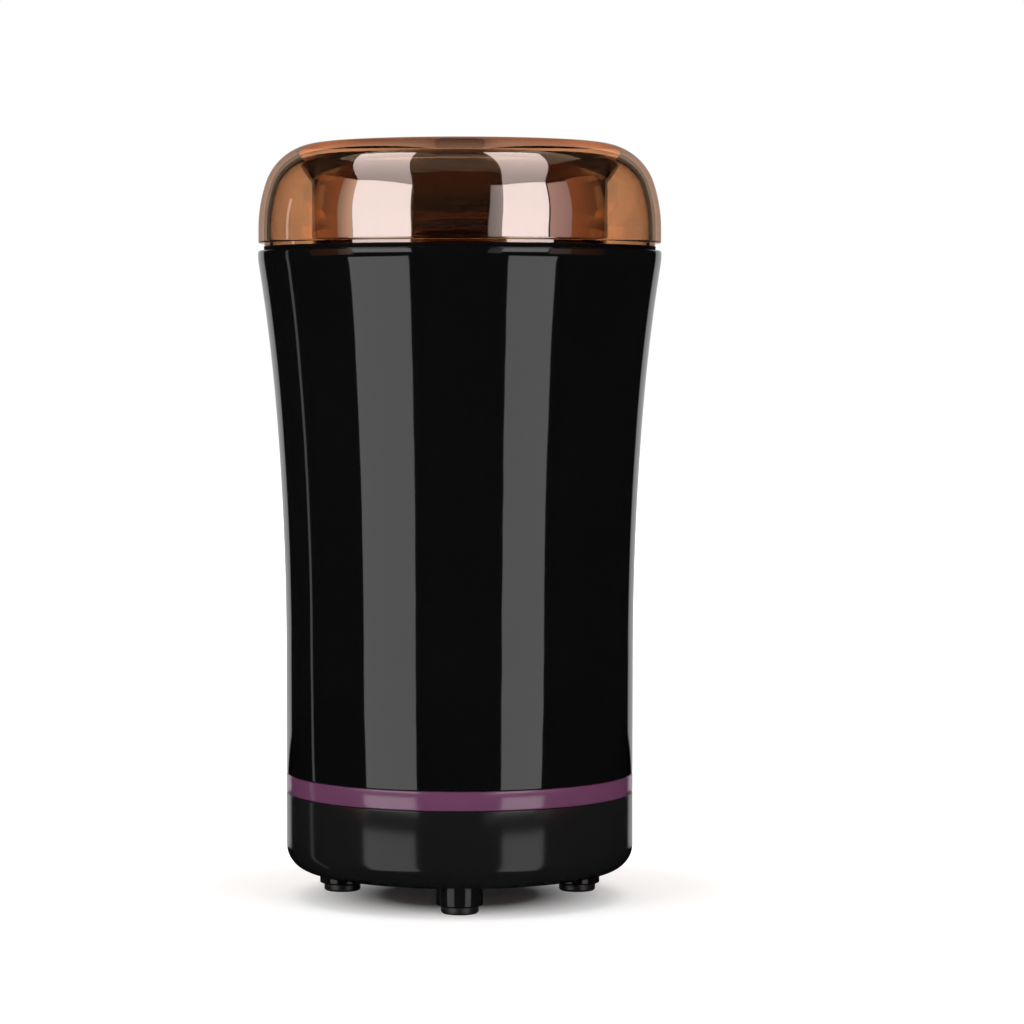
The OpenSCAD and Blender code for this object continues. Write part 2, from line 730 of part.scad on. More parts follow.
module inner_leads() color("#b33a2e") {
    holder_x = -brush_w / 2 - holder_t - 0.1;
    coil_x = 1.7 - coil_out;
    cap_y = cap_circle + cap_t / 2;
    // From the switch to the rear brush
    lead([[-8, switch_mid, switch_z - tab_l], [-8, switch_mid + 0.5, switch_z - tab_l - 8],
        [holder_x - 14, comm_r + 8, brush_z], [holder_x, comm_r + 8, brush_z]], 0.9, [1, 1, 0]);
    // From the field coil to the front brush
    lead([[coil_x, -12, stack_z - coil_over], [coil_x, -12, stack_z - coil_over - 6],
        [holder_x - 8, -comm_r - 8, brush_z], [holder_x, -comm_r - 8, brush_z]], 0.9, [0, 1, 0]);
    // From the capacitor to the front brush and to the coil
    lead([[cap_y * cos(cap_az) + 3, cap_y * sin(cap_az) - 3, cap_z + cap_h],
        [cap_y * cos(cap_az) + 3, cap_y * sin(cap_az) - 3, cap_z + cap_h + 10],
        [holder_x - 8, -comm_r - 12, brush_z - 1], [holder_x, -comm_r - 12, brush_z - 1]], 0.7, [0, 1, 0]);
    lead([[cap_y * cos(cap_az) - 3, cap_y * sin(cap_az) + 3, cap_z + cap_h],
        [cap_y * cos(cap_az) - 3, cap_y * sin(cap_az) + 3, cap_z + cap_h + 10],
        [coil_x, -4, stack_z - coil_over - 9], [coil_x, -4, stack_z - coil_over]], 0.7, [1, 0, 0]);
}

module motor_shaft() color("#b4b7bb") {
    shaft_z = low_top - bearing_h - 3;
    translate([0, 0, shaft_z]) cylinder(r = shaft_r, h = hub_z - shaft_z);
    translate([0, 0, hub_z - 1]) cylinder(r = stud_r, h = nut_z + nut_h - hub_z);
}

module armature_core() color("#6b6f75") {
    difference() {
        translate([0, 0, stack_z]) cylinder(r = rotor_r, h = stack_h);
        translate([0, 0, stack_z - 1]) cylinder(r = shaft_r + 0.01, h = stack_h + 2);
        for (i = [0:slot_count - 1]) rotate(i * 360 / slot_count)
            translate([rotor_r - 6.5, -1, stack_z - 1]) cube([8, 2, stack_h + 2]);
    }
}

module armature_windings() color("#b5622a") {
    for (s = [0, 1]) translate([0, 0, stack_z + s * stack_h]) mirror([0, 0, 1 - s])
        rotate_extrude() polygon([[5, 0], [12.6, 0], [13.2, 1], [12.6, coil_over - 1.6],
            [10.8, coil_over], [6, coil_over], [5, coil_over - 1]]);
}

module commutator() color("#b8743a") {
    difference() {
        translate([0, 0, comm_z]) cylinder(r = comm_r, h = comm_h);
        translate([0, 0, comm_z - 1]) cylinder(r = shaft_r + 0.01, h = comm_h + 2);
        for (i = [0:slot_count - 1]) rotate((i + 0.5) * 360 / slot_count)
            translate([comm_r - 1, -0.3, comm_z - 1]) cube([2, 0.6, comm_h + 2]);
    }
}

module cooling_fan() color("#e4e2dc") {
    fan_z = stack_top + coil_over + 1.6;
    fan_h = bracket_top - fan_z - 1;
    hub = 5.5;
    vane_a = 360 / fan_vanes;
    difference() {
        union() {
            translate([0, 0, fan_z]) cylinder(r = hub, h = fan_h);
            translate([0, 0, fan_z]) cylinder(r = fan_r, h = 1.2);
            for (i = [0:fan_vanes - 1]) rotate(i * vane_a) translate([hub - 1, -0.6, fan_z])
                rotate([0, 0, 12]) cube([fan_r - hub + 0.1, 1.2, fan_h - 1]);
        }
        translate([0, 0, fan_z - 1]) cylinder(r = shaft_r + 0.01, h = fan_h + 2);
    }
}

module blade_hub() color("#8e9297") {
    difference() {
        translate([0, 0, hub_z]) cylinder(r1 = hub_r + 0.8, r2 = hub_r, h = hub_h);
        translate([0, 0, hub_z - 1]) cylinder(r = stud_r + 0.01, h = hub_h + 2);
    }
}

// One wing of a blade along +X: bent at its root, with a rounded tip and a ground edge
module wing(bend, root) {
    lap = blade_t * 0.25;
    tip_w = blade_w * 0.62;
    tip_x = blade_l - root - tip_w / 2;
    translate([root, 0, blade_t / 2]) rotate([0, -bend, 0]) translate([0, 0, -blade_t / 2]) difference() {
        linear_extrude(blade_t) union() {
            polygon([[-lap, -blade_w / 2 + 0.3], [tip_x, -tip_w / 2],
                [tip_x, tip_w / 2], [-lap, blade_w / 2 - 0.3]]);
            translate([tip_x, 0]) circle(r = tip_w / 2);
        }
        // Ground cutting edge on the leading side
        translate([1.5, blade_w / 2 - 1.8, blade_t]) rotate([-35, 0, -atan2((blade_w - tip_w) / 2, tip_x)])
            cube([blade_l, 6, 4]);
    }
}

// Two wings and a round middle with the stud's hole
module two_wing_blade(bend) {
    root = 7;
    difference() {
        union() {
            cylinder(r = root - 0.8, h = blade_t);
            translate([-root, -blade_w / 2, 0]) cube([2 * root, blade_w, blade_t]);
            for (a = [0, 180]) rotate(a) wing(bend, root);
        }
        translate([0, 0, -1]) cylinder(r = stud_r + 0.01, h = blade_t + 2);
    }
}

module lower_blade() color("#c6c9cd") {
    translate([0, 0, lower_blade_z]) rotate(25) two_wing_blade(-lower_bend);
}

module upper_blade() color("#d2d5d8") {
    translate([0, 0, upper_blade_z]) rotate(115) two_wing_blade(upper_bend);
}

module blade_nut() color("#d2d5d8") {
    difference() {
        union() {
            translate([0, 0, nut_z]) cylinder(r = nut_r, h = nut_h, $fn = 6);
            translate([0, 0, nut_z + nut_h - 1.4]) intersection() {
                sphere(r = nut_r * 0.82);
                translate([-9, -9, 0]) cube([18, 18, 9]);
            }
        }
        translate([0, 0, nut_z - 1]) cylinder(r = stud_r + 0.01, h = nut_h + 1.05);
    }
}

module pushrod() color("#d9d7d0") {
    // Nub through the deck, arm under it, rod and foot over the switch
    translate([-rod_w / 2, nub_in, arm_top - 1]) cube([rod_w, nub_out - nub_in, nub_top - arm_top + 1]);
    translate([-rod_w / 2, rod_y, arm_top - arm_t]) cube([rod_w, nub_out - rod_y, arm_t]);
    translate([-rod_w / 2, rod_y, foot_z]) cube([rod_w, rod_t, arm_top - foot_z]);
    translate([-rod_w / 2, switch_mid - 1.6, foot_z]) cube([rod_w, rod_out - switch_mid + 1.6, foot_t]);
    // Brace between the rod and its foot
    translate([0.8, 0, 0]) rotate([0, -90, 0]) linear_extrude(1.6)
        polygon([[foot_z + foot_t - 0.5, rod_y + 0.5], [foot_z + foot_t + 5, rod_y + 0.5],
            [foot_z + foot_t + 5, rod_y], [foot_z + foot_t, switch_mid],
            [foot_z + foot_t - 0.5, switch_mid]]);
}

module pushrod_spring() color("#b7babf") {
    translate([0, spring_y, shelf_top]) difference() {
        cylinder(r = spring_r, h = spring_h);
        translate([0, 0, -1]) cylinder(r = spring_r - spring_wire, h = spring_h + 2);
    }
}

module switch_lever() color("#c9ccd0") {
    translate([pivot_x, switch_mid - lever_w / 2, pivot_z]) rotate([0, lever_a, 0]) difference() {
        union() {
            rotate([-90, 0, 0]) cylinder(r = pin_r + 0.5, h = lever_w);
            translate([-lever_l, 0, -lever_t / 2]) cube([lever_l, lever_w, lever_t]);
        }
        translate([0, -1, 0]) rotate([-90, 0, 0]) cylinder(r = pin_r + run_fit, h = lever_w + 2);
    }
}

module switch_plunger() color("#e9e6df") {
    translate([plunger_x - plunger_half, switch_mid - 1, switch_top - 3])
        cube([2 * plunger_half, 2, plunger_top - switch_top + 3]);
}

module lid_shell() color("#9c5a35", 0.75) {
    ceiling = lid_top - lid_top_t;
    inner_r = lid_r - lid_wall;
    spigot_r = lid_r - spigot_inset;
    spigot_low = spigot_r - spigot_h * 0.14;
    side_c = [lid_r - lid_side_r, lid_z + lid_side_h];
    side_end = side_c + lid_side_r * [cos(lid_side_turn), sin(lid_side_turn)];
    shoulder_r = (lid_top - side_end[1]) / (1 - sin(lid_side_turn));
    shoulder_c = side_end - shoulder_r * [cos(lid_side_turn), sin(lid_side_turn)];
    flare_turn = acos((skirt_r + skirt_flare_w - shoulder_c[0]) / (shoulder_r - lid_wall));
    rotate_extrude() polygon(concat(
        [[spigot_low - 0.3, lid_z - spigot_h], [spigot_low, lid_z - spigot_h + 0.3], [spigot_r, lid_z],
            [lid_r - 0.5, lid_z], [lid_r, lid_z + 0.5]],
        arc(side_c, lid_side_r, 0, lid_side_turn, 5),
        arc(shoulder_c, shoulder_r, lid_side_turn + 6, 90, 12),
        [[0, lid_top], [0, ceiling], [skirt_r - skirt_t, ceiling], [skirt_r - skirt_t, skirt_z],
            [skirt_r, skirt_z], [skirt_r, lid_top - skirt_flare]],
        arc(shoulder_c, shoulder_r - lid_wall, flare_turn, lid_side_turn + 7, 7),
        arc(side_c, lid_side_r - lid_wall, lid_side_turn, 0, 4),
        [[inner_r, lid_z - spigot_h]]));
    // Tab that presses the pushrod
    translate([-rod_w / 2 + 0.4, nub_in + 0.2, nub_top + tab_gap])
        cube([rod_w - 0.8, nub_out - nub_in - 0.4, lid_z - nub_top + 1]);
    translate([-rod_w / 2 + 0.4, nub_in + 0.2, lid_z - spigot_h])
        cube([rod_w - 0.8, inner_r - nub_in + 0.2, spigot_h + 1]);
}

body_shell();
trim_ring();
base_cup();
foot_pads();
base_screws();
cord_gland();
bowl_carrier();
carrier_screws();
grinding_bowl();
shaft_seal();
upper_bracket();
lower_bracket();
upper_bearing();
lower_bearing();
motor_mounts();
motor_screws();
stator_core();
field_coils();
thermal_fuse();
brush_holders();
carbon_brushes();
brush_springs();
switch_body();
switch_terminals();
switch_screws();
suppressor_capacitor();
inner_leads();
motor_shaft();
armature_core();
armature_windings();
commutator();
cooling_fan();
blade_hub();
lower_blade();
upper_blade();
blade_nut();
pushrod();
pushrod_spring();
switch_lever();
switch_plunger();
lid_shell();
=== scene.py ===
# Electric coffee grinder: flared gloss body, tinted lid that presses a switch, ring, base on four feet
import math
import bpy
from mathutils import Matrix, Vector


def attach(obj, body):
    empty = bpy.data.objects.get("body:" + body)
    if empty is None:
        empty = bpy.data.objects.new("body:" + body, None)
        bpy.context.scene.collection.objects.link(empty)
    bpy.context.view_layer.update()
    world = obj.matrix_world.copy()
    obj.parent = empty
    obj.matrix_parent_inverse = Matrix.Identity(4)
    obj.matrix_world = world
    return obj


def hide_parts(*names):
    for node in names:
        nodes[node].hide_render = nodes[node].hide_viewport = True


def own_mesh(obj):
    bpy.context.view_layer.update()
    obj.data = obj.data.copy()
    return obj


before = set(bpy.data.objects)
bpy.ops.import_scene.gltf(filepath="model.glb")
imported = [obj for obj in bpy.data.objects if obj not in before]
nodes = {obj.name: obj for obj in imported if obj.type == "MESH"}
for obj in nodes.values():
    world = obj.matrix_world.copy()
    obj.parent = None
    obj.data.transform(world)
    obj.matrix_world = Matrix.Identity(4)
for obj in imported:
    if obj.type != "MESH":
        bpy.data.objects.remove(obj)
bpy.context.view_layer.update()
scene = bpy.context.scene
bpy.ops.object.select_all(action="DESELECT")
mm = 0.001


def linear(code):
    # sRGB hex to a linear colour with alpha
    parts = [int(code[i:i + 2], 16) / 255 for i in (1, 3, 5)]
    return [c / 12.92 if c <= 0.04045 else ((c + 0.055) / 1.055) ** 2.4 for c in parts] + [1.0]


def addNode(tree, kind, inputs=None, **settings):
    # one node with its settings, values and links; a node given as a value is linked by its first live output
    new = tree.nodes.new(kind)
    for key, value in settings.items():
        setattr(new, key, value)
    for key, value in (inputs or {}).items():
        if isinstance(key, int):
            socket = new.inputs[key]
        else:
            socket = next(i for i in new.inputs if i.name == key and i.enabled)
        if isinstance(value, bpy.types.Node):
            value = next(o for o in value.outputs if o.enabled)
        if isinstance(value, bpy.types.NodeSocket):
            tree.links.new(value, socket)
        else:
            socket.default_value = value
    return new


def newMaterial(name):
    made = bpy.data.materials.new(name)
    made.use_nodes = True
    made.node_tree.nodes.clear()
    return made, made.node_tree


def arcPoints(centre, radius, fromDeg, toDeg, count):
    turns = [math.radians(fromDeg + (toDeg - fromDeg) * i / count) for i in range(count + 1)]
    return [(centre[0] + radius * math.cos(t), centre[1] + radius * math.sin(t)) for t in turns]


def rounded(corners, count=4):
    # corners are (r, z) or (r, z, fillet); the outline is closed
    points = []
    for i, corner in enumerate(corners):
        if len(corner) < 3 or corner[2] == 0:
            points.append(corner[:2])
            continue
        here = Vector(corner[:2])
        before = (Vector(corners[i - 1][:2]) - here).normalized()
        after = (Vector(corners[(i + 1) % len(corners)][:2]) - here).normalized()
        half = before.angle(after) / 2
        reach = corner[2] / math.tan(half)
        centre = here + (before + after).normalized() * (corner[2] / math.sin(half))
        start = here + before * reach - centre
        turn = start.angle_signed(here + after * reach - centre)
        for step in range(count + 1):
            angle = math.atan2(start.y, start.x) - turn * step / count
            points.append((centre.x + corner[2] * math.cos(angle), centre.y + corner[2] * math.sin(angle)))
    return points


def choosePiece(piece):
    bpy.ops.object.select_all(action="DESELECT")
    piece.select_set(True)
    bpy.context.view_layer.objects.active = piece


def chooseVertices(piece, wanted):
    # edit mode with only these vertices selected; wanted gets the index and the place
    bpy.ops.object.mode_set(mode="EDIT")
    bpy.ops.mesh.select_mode(type="VERT")
    bpy.ops.mesh.select_all(action="DESELECT")
    bpy.ops.object.mode_set(mode="OBJECT")
    for vertex in piece.data.vertices:
        vertex.select = bool(wanted(vertex.index, vertex.co))
    bpy.ops.object.mode_set(mode="EDIT")


def traced(name, points):
    # one corner of a small plane is kept and drawn along the points; edit mode stays on
    bpy.ops.object.select_all(action="DESELECT")
    bpy.ops.mesh.primitive_plane_add(size=2 * mm, location=(0, 0, 0))
    piece = bpy.context.object
    piece.name = piece.data.name = name
    chooseVertices(piece, lambda i, co: i > 0)
    bpy.ops.mesh.delete(type="VERT")
    bpy.ops.mesh.select_all(action="SELECT")
    bpy.ops.transform.translate(value=Vector(points[0]) * mm - Vector((-mm, -mm, 0)))
    for here, after in zip(points, points[1:]):
        step = [(b - a) * mm for a, b in zip(here, after)]
        bpy.ops.mesh.extrude_region_move(TRANSFORM_OT_translate={"value": step})
    return piece


def spun(name, outline, steps=160, closed=True, mergeMm=0.002):
    # an outline of radius and height, spun round the axis
    piece = traced(name, [(point[0], 0, point[1]) for point in outline])
    if closed:
        last = len(outline) - 1
        chooseVertices(piece, lambda i, co: i in (0, last))
        bpy.ops.mesh.edge_face_add()
    bpy.ops.mesh.select_all(action="SELECT")
    bpy.ops.mesh.spin(steps=steps, angle=2 * math.pi, center=(0, 0, 0), axis=(0, 0, 1))
    bpy.ops.mesh.select_all(action="SELECT")
    bpy.ops.mesh.remove_doubles(threshold=mergeMm * mm)
    bpy.ops.mesh.normals_make_consistent(inside=False)
    bpy.ops.object.mode_set(mode="OBJECT")
    return piece


def finishPiece(piece, material, body, replaced=(), angle=32):
    # smooth shading with sharp corners kept, one material, and the CAD body it moves with
    choosePiece(piece)
    bpy.ops.object.transform_apply(location=True, rotation=True, scale=True)
    bpy.ops.object.shade_smooth_by_angle(angle=math.radians(angle))
    if material:
        piece.data.materials.clear()
        piece.data.materials.append(material)
    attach(piece, body)
    if replaced:
        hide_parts(*replaced)
    piece.select_set(False)
    return piece


def paint(names, material):
    # finish of CAD nodes that keep their own shape
    for name in names:
        mesh = nodes[name].data
        mesh.materials.clear()
        mesh.materials.append(material)


def turned(piece, name, degrees):
    # copy with its own mesh, turned round the axis
    choosePiece(piece)
    bpy.ops.object.duplicate(linked=False)
    made = bpy.context.object
    made.name = made.data.name = name
    made.rotation_euler.z = math.radians(degrees)
    bpy.ops.object.transform_apply(location=False, rotation=True, scale=False)
    return made


def placed(piece, place, turns=(0, 0, 0)):
    # turned round its own origin, then moved; both are applied
    choosePiece(piece)
    piece.rotation_euler = [math.radians(t) for t in turns]
    piece.location = [c * mm for c in place]
    bpy.ops.object.transform_apply(location=True, rotation=True, scale=False)
    return piece


def cut(piece, cutters):
    # takes the cutters out of the piece and deletes them
    choosePiece(cutters[0])
    for cutter in cutters:
        cutter.select_set(True)
    bpy.ops.object.join()
    cutter = bpy.context.object
    choosePiece(piece)
    hole = piece.modifiers.new("hole", "BOOLEAN")
    hole.operation, hole.solver, hole.object = "DIFFERENCE", "EXACT", cutter
    bpy.ops.object.modifier_apply(modifier="hole")
    choosePiece(cutter)
    bpy.ops.object.delete()


def slotCutter(length, width, low, high, place=(0, 0)):
    # round bar, drawn out along x into a slot with round ends; length is between the ends' centres
    sides = 24
    halfStep = math.pi / sides  # no corner of the bar lies on the plane x = 0
    bpy.ops.mesh.primitive_cylinder_add(
        vertices=sides, radius=width / 2 * mm, depth=(high - low) * mm, rotation=(0, 0, halfStep))
    piece = bpy.context.object
    bpy.ops.object.transform_apply(location=False, rotation=True, scale=False)
    for side in (-1, 1):
        if length:
            chooseVertices(piece, lambda i, co: co.x * side > 0)
            bpy.ops.transform.translate(value=(side * length / 2 * mm, 0, 0))
            bpy.ops.object.mode_set(mode="OBJECT")
    return placed(piece, (*place, (low + high) / 2))


edgeSet = {"mergeMm": 0.001, "flatDeg": 1, "sharpDeg": 40}


def softened(node, name, bevelMm, segments=2):
    # copy of a CAD mesh with its flat faces joined again and its edges rounded
    piece = bpy.data.objects.new(name, nodes[node].data.copy())
    scene.collection.objects.link(piece)
    piece.data.name = name
    choosePiece(piece)
    bpy.ops.object.mode_set(mode="EDIT")
    bpy.ops.mesh.select_all(action="SELECT")
    bpy.ops.mesh.remove_doubles(threshold=edgeSet["mergeMm"] * mm)
    bpy.ops.mesh.dissolve_limited(angle_limit=math.radians(edgeSet["flatDeg"]))
    bpy.ops.mesh.normals_make_consistent(inside=False)
    bpy.ops.object.mode_set(mode="OBJECT")
    edges = piece.modifiers.new("edges", "BEVEL")
    edges.width, edges.segments, edges.limit_method = bevelMm * mm, segments, "ANGLE"
    edges.angle_limit = math.radians(edgeSet["sharpDeg"])
    edges.use_clamp_overlap = True
    bpy.ops.object.modifier_apply(modifier="edges")
    return piece


def coil(name, radius, wire, height, turns, wireSides=10, stepsPerTurn=28):
    # a small circle carried round and up the axis
    bpy.ops.object.select_all(action="DESELECT")
    bpy.ops.mesh.primitive_circle_add(
        vertices=wireSides, radius=wire / 2 * mm, location=(radius * mm, 0, wire / 2 * mm),
        rotation=(math.radians(90), 0, 0))
    piece = bpy.context.object
    piece.name = piece.data.name = name
    bpy.ops.object.transform_apply(location=True, rotation=True, scale=False)
    wind = piece.modifiers.new("wind", "SCREW")
    wind.axis, wind.angle, wind.iterations = "Z", 2 * math.pi, turns
    wind.screw_offset = (height - wire) / turns * mm
    wind.steps = wind.render_steps = stepsPerTurn
    bpy.ops.object.modifier_apply(modifier="wind")
    bpy.ops.object.mode_set(mode="EDIT")
    bpy.ops.mesh.select_all(action="DESELECT")
    bpy.ops.mesh.select_non_manifold()
    bpy.ops.mesh.edge_face_add()
    bpy.ops.mesh.select_all(action="SELECT")
    bpy.ops.mesh.normals_make_consistent(inside=False)
    bpy.ops.object.mode_set(mode="OBJECT")
    return piece


cameraSet = {"at": (0, -886 * mm, 133.05 * mm), "downDeg": 2.71, "aside": 0.051, "focalPx": 3743,
             "framePx": 1024, "sensorMm": 36, "nearest": 0.05}

camera = bpy.data.objects.new("camera", bpy.data.cameras.new("camera"))
scene.collection.objects.link(camera)
camera.data.sensor_width = cameraSet["sensorMm"]
camera.data.lens = cameraSet["focalPx"] / cameraSet["framePx"] * cameraSet["sensorMm"]
camera.data.clip_start = cameraSet["nearest"]
camera.location = cameraSet["at"]
camera.rotation_euler = (math.radians(90 - cameraSet["downDeg"]), 0, 0)
camera.data.shift_x = cameraSet["aside"]  # the photo has the axis left of its middle
scene.camera = camera
scene.view_settings.view_transform = "Standard"

# softboxes in metres from the origin, with azimuths counted from the front
lampSet = {
    "distance": 1.5,
    # what the body, base and ring mirror
    "lowLeft": {"fromDeg": -65, "toDeg": -28.6, "low": -1.0, "high": -0.04, "level": 1.95},
    "lowRight": {"fromDeg": 27.3, "toDeg": 56, "low": -1.0, "high": -0.04, "level": 1.95},
    "strip": {"fromDeg": -115.2, "toDeg": -112.6, "low": -1.0, "high": 0.5, "level": 0.6},
    "ceiling": {"size": 3.0, "height": 2.4, "level": 1.7},
}


def softbox(name, fromDeg, toDeg, low, high, level):
    # upright box at the set distance that fills these azimuths
    middle = math.radians((fromDeg + toDeg) / 2)
    distance = lampSet["distance"]
    width = 2 * distance * math.tan(math.radians(toDeg - fromDeg) / 2)
    lamp = bpy.data.lights.new(name, "AREA")
    lamp.shape = "RECTANGLE"
    lamp.size, lamp.size_y = width, high - low
    lamp.energy = level * math.pi * width * (high - low)
    box = bpy.data.objects.new(name, lamp)
    scene.collection.objects.link(box)
    box.location = (distance * math.sin(middle), -distance * math.cos(middle), (low + high) / 2)
    box.rotation_euler = (math.radians(90), 0, middle)
    box.visible_camera = False
    return box


for name in ("lowLeft", "lowRight", "strip"):
    softbox(name, **lampSet[name])
# the ceiling lights what is matt and casts the soft shadow on the floor
over = lampSet["ceiling"]
ceilingBox = softbox("ceiling", -1, 1, 0, 1, over["level"])
ceilingBox.data.size = ceilingBox.data.size_y = over["size"]
ceilingBox.data.energy = over["level"] * math.pi * over["size"] ** 2
ceilingBox.location, ceilingBox.rotation_euler = (0, 0, over["height"]), (0, 0, 0)
ceilingBox.visible_glossy = False

world = bpy.data.worlds.new("studio")
scene.world = world
world.use_nodes = True
sky = world.node_tree
sky.nodes.clear()


def seenStraight(tree):
    # 1 for camera rays and for rays that came through glass without a reflection on the way
    rays = addNode(tree, "ShaderNodeLightPath")
    plain = addNode(tree, "ShaderNodeMath", {0: rays.outputs["Glossy Depth"], 1: 0.5}, operation="LESS_THAN")
    through = addNode(tree, "ShaderNodeMath", {0: rays.outputs["Is Transmission Ray"], 1: plain},
                      operation="MULTIPLY")
    return addNode(tree, "ShaderNodeMath", {0: rays.outputs["Is Camera Ray"], 1: through},
                   operation="MAXIMUM")


# for the camera and straight through the lid the world is white; gloss mirrors a white sweep behind the
# part and a dark room in front. "from" and "to" are the direction's Y, "fade" is its Z
sweepSet = {"from": 0.85, "to": 0.88, "room": 0.004, "white": 0.6, "fade": (-0.15, -0.141)}
heading = addNode(sky, "ShaderNodeTexCoord")
axes = addNode(sky, "ShaderNodeSeparateXYZ", {0: heading.outputs["Generated"]})
sweep = addNode(sky, "ShaderNodeMapRange", {
    "Value": axes.outputs["Y"], "From Min": sweepSet["from"], "From Max": sweepSet["to"],
    "To Min": sweepSet["room"], "To Max": sweepSet["white"]}, interpolation_type="SMOOTHSTEP")
# low down the sweep fades out, so that the edges of the feet and the base show no bright line
fade = addNode(sky, "ShaderNodeMapRange", {
    "Value": axes.outputs["Z"], "From Min": sweepSet["fade"][0], "From Max": sweepSet["fade"][1]},
    interpolation_type="SMOOTHSTEP")
behind = addNode(sky, "ShaderNodeMath", {0: sweep, 1: fade}, operation="MULTIPLY")
level = addNode(sky, "ShaderNodeMix", {"Factor": seenStraight(sky), "A": behind, "B": 1.0})
backdrop = addNode(sky, "ShaderNodeBackground", {"Color": (1, 1, 1, 1), "Strength": level})
addNode(sky, "ShaderNodeOutputWorld", {"Surface": backdrop})

# matt white paper that keeps the contact shadow; away from the axis it glows for the eye only, in two steps
# of start, end and level, in metres. The glow is painted light; it is missing near the axis, so the soft edge
# of the shadow there is partly painted shade
floorSet = {"size": 12, "paper": "#ececec", "near": (0.018, 0.034, 0.42), "rest": (0.06, 0.13, 0.6)}
floorFinish, tree = newMaterial("studioFloorPaper")
paper = addNode(tree, "ShaderNodeBsdfDiffuse", {"Color": linear(floorSet["paper"])})
spot = addNode(tree, "ShaderNodeTexCoord")
away = addNode(tree, "ShaderNodeVectorMath", {0: spot.outputs["Object"]}, operation="LENGTH").outputs["Value"]
near, rest = [addNode(tree, "ShaderNodeMapRange", {
    "Value": away, "From Min": start, "From Max": end, "To Max": level})
    for start, end, level in (floorSet["near"], floorSet["rest"])]
lift = addNode(tree, "ShaderNodeMath", {0: near, 1: rest})
kept = addNode(tree, "ShaderNodeMath", {0: seenStraight(tree), 1: lift}, operation="MULTIPLY")
glow = addNode(tree, "ShaderNodeEmission", {"Color": (1, 1, 1, 1), "Strength": kept})
both = addNode(tree, "ShaderNodeAddShader", {0: paper, 1: glow})
addNode(tree, "ShaderNodeOutputMaterial", {"Surface": both})

# glowing sheets that the lid mirrors; they stand too high for the body's sides, and light the matt pieces
# a little. Corners go round and are azimuth, elevation and distance, and each has its level
amberTone, warmTone = "#ffcfac", "#ff9c62"
sheetSet = {
    "sideLeft": {
        "corners": ((-61.2, 4, 1.5), (-26.6, 4, 1.5), (-29, 34, 1.9), (-66, 34, 1.9)),
        "levels": (2.7, 2.7, 2.6, 2.6)},
    "sideRight": {
        "corners": ((23, 4, 1.5), (49.7, 4, 1.5), (54, 34, 1.9), (26.2, 34, 1.9)),
        "levels": (2.7, 2.7, 2.6, 2.6)},
    "dimRight": {
        "corners": ((15, 2, 1.5), (23, 2, 1.5), (26.2, 34, 1.9), (18.8, 34, 1.9)),
        "levels": (0.4, 0.7, 0.8, 0.5)},
    "edgeLeft": {
        "corners": ((-71, 2, 1.5), (-61.2, 2, 1.5), (-66, 34, 1.9), (-76, 34, 1.9)),
        "levels": (0.6, 1.5, 1.5, 0.6), "tone": "#ffd8bb"},
    "edgeRight": {
        "corners": ((50.4, 2, 1.5), (64, 2, 1.5), (69, 33, 1.9), (54.8, 33, 1.9)),
        "levels": (1.0, 0.7, 0.7, 1.0), "tone": "#ffd6cc"},
    "warmLeft": {
        "corners": ((-92, 2, 1.5), (-71, 2, 1.5), (-76, 34, 1.9), (-97, 34, 1.9)),
        "levels": (0.2, 0.5, 0.5, 0.2), "tone": warmTone},
    "warmRight": {
        "corners": ((64, 2, 1.5), (88, 2, 1.5), (94, 34, 1.9), (69, 34, 1.9)),
        "levels": (0.5, 0.1, 0.1, 0.5), "tone": warmTone},
    "shoulderLeft": {
        "corners": ((-66, 34, 1.9), (-29, 34, 1.9), (-106, 77, 2.85), (-121, 59, 2.85)),
        "levels": (0.9, 0.9, 2.1, 2.1)},
    "shoulderRight": {
        "corners": ((26, 34, 1.9), (54, 34, 1.9), (115, 66, 2.85), (104, 83, 2.85)),
        "levels": (0.9, 0.9, 2.1, 2.1)},
    "topLeft": {
        "corners": ((-155.7, 29.5, 2.4), (-151.6, 78, 2.4), (-178.4, 35.7, 2.4), (-175, 17, 2.4)),
        "levels": (1.6, 0.8, 0.3, 0.9), "tone": amberTone},
    "topMiddle": {
        "corners": ((-151.6, 78, 2.4), (151.6, 78, 2.4), (178.4, 35.7, 2.4), (-178.4, 35.7, 2.4)),
        "levels": (0.6, 0.6, 0.12, 0.12), "tone": amberTone},
    "topRight": {
        "corners": ((151.6, 78, 2.4), (155.7, 29.5, 2.4), (175, 17, 2.4), (178.4, 35.7, 2.4)),
        "levels": (0.8, 1.6, 0.9, 0.3), "tone": amberTone},
}


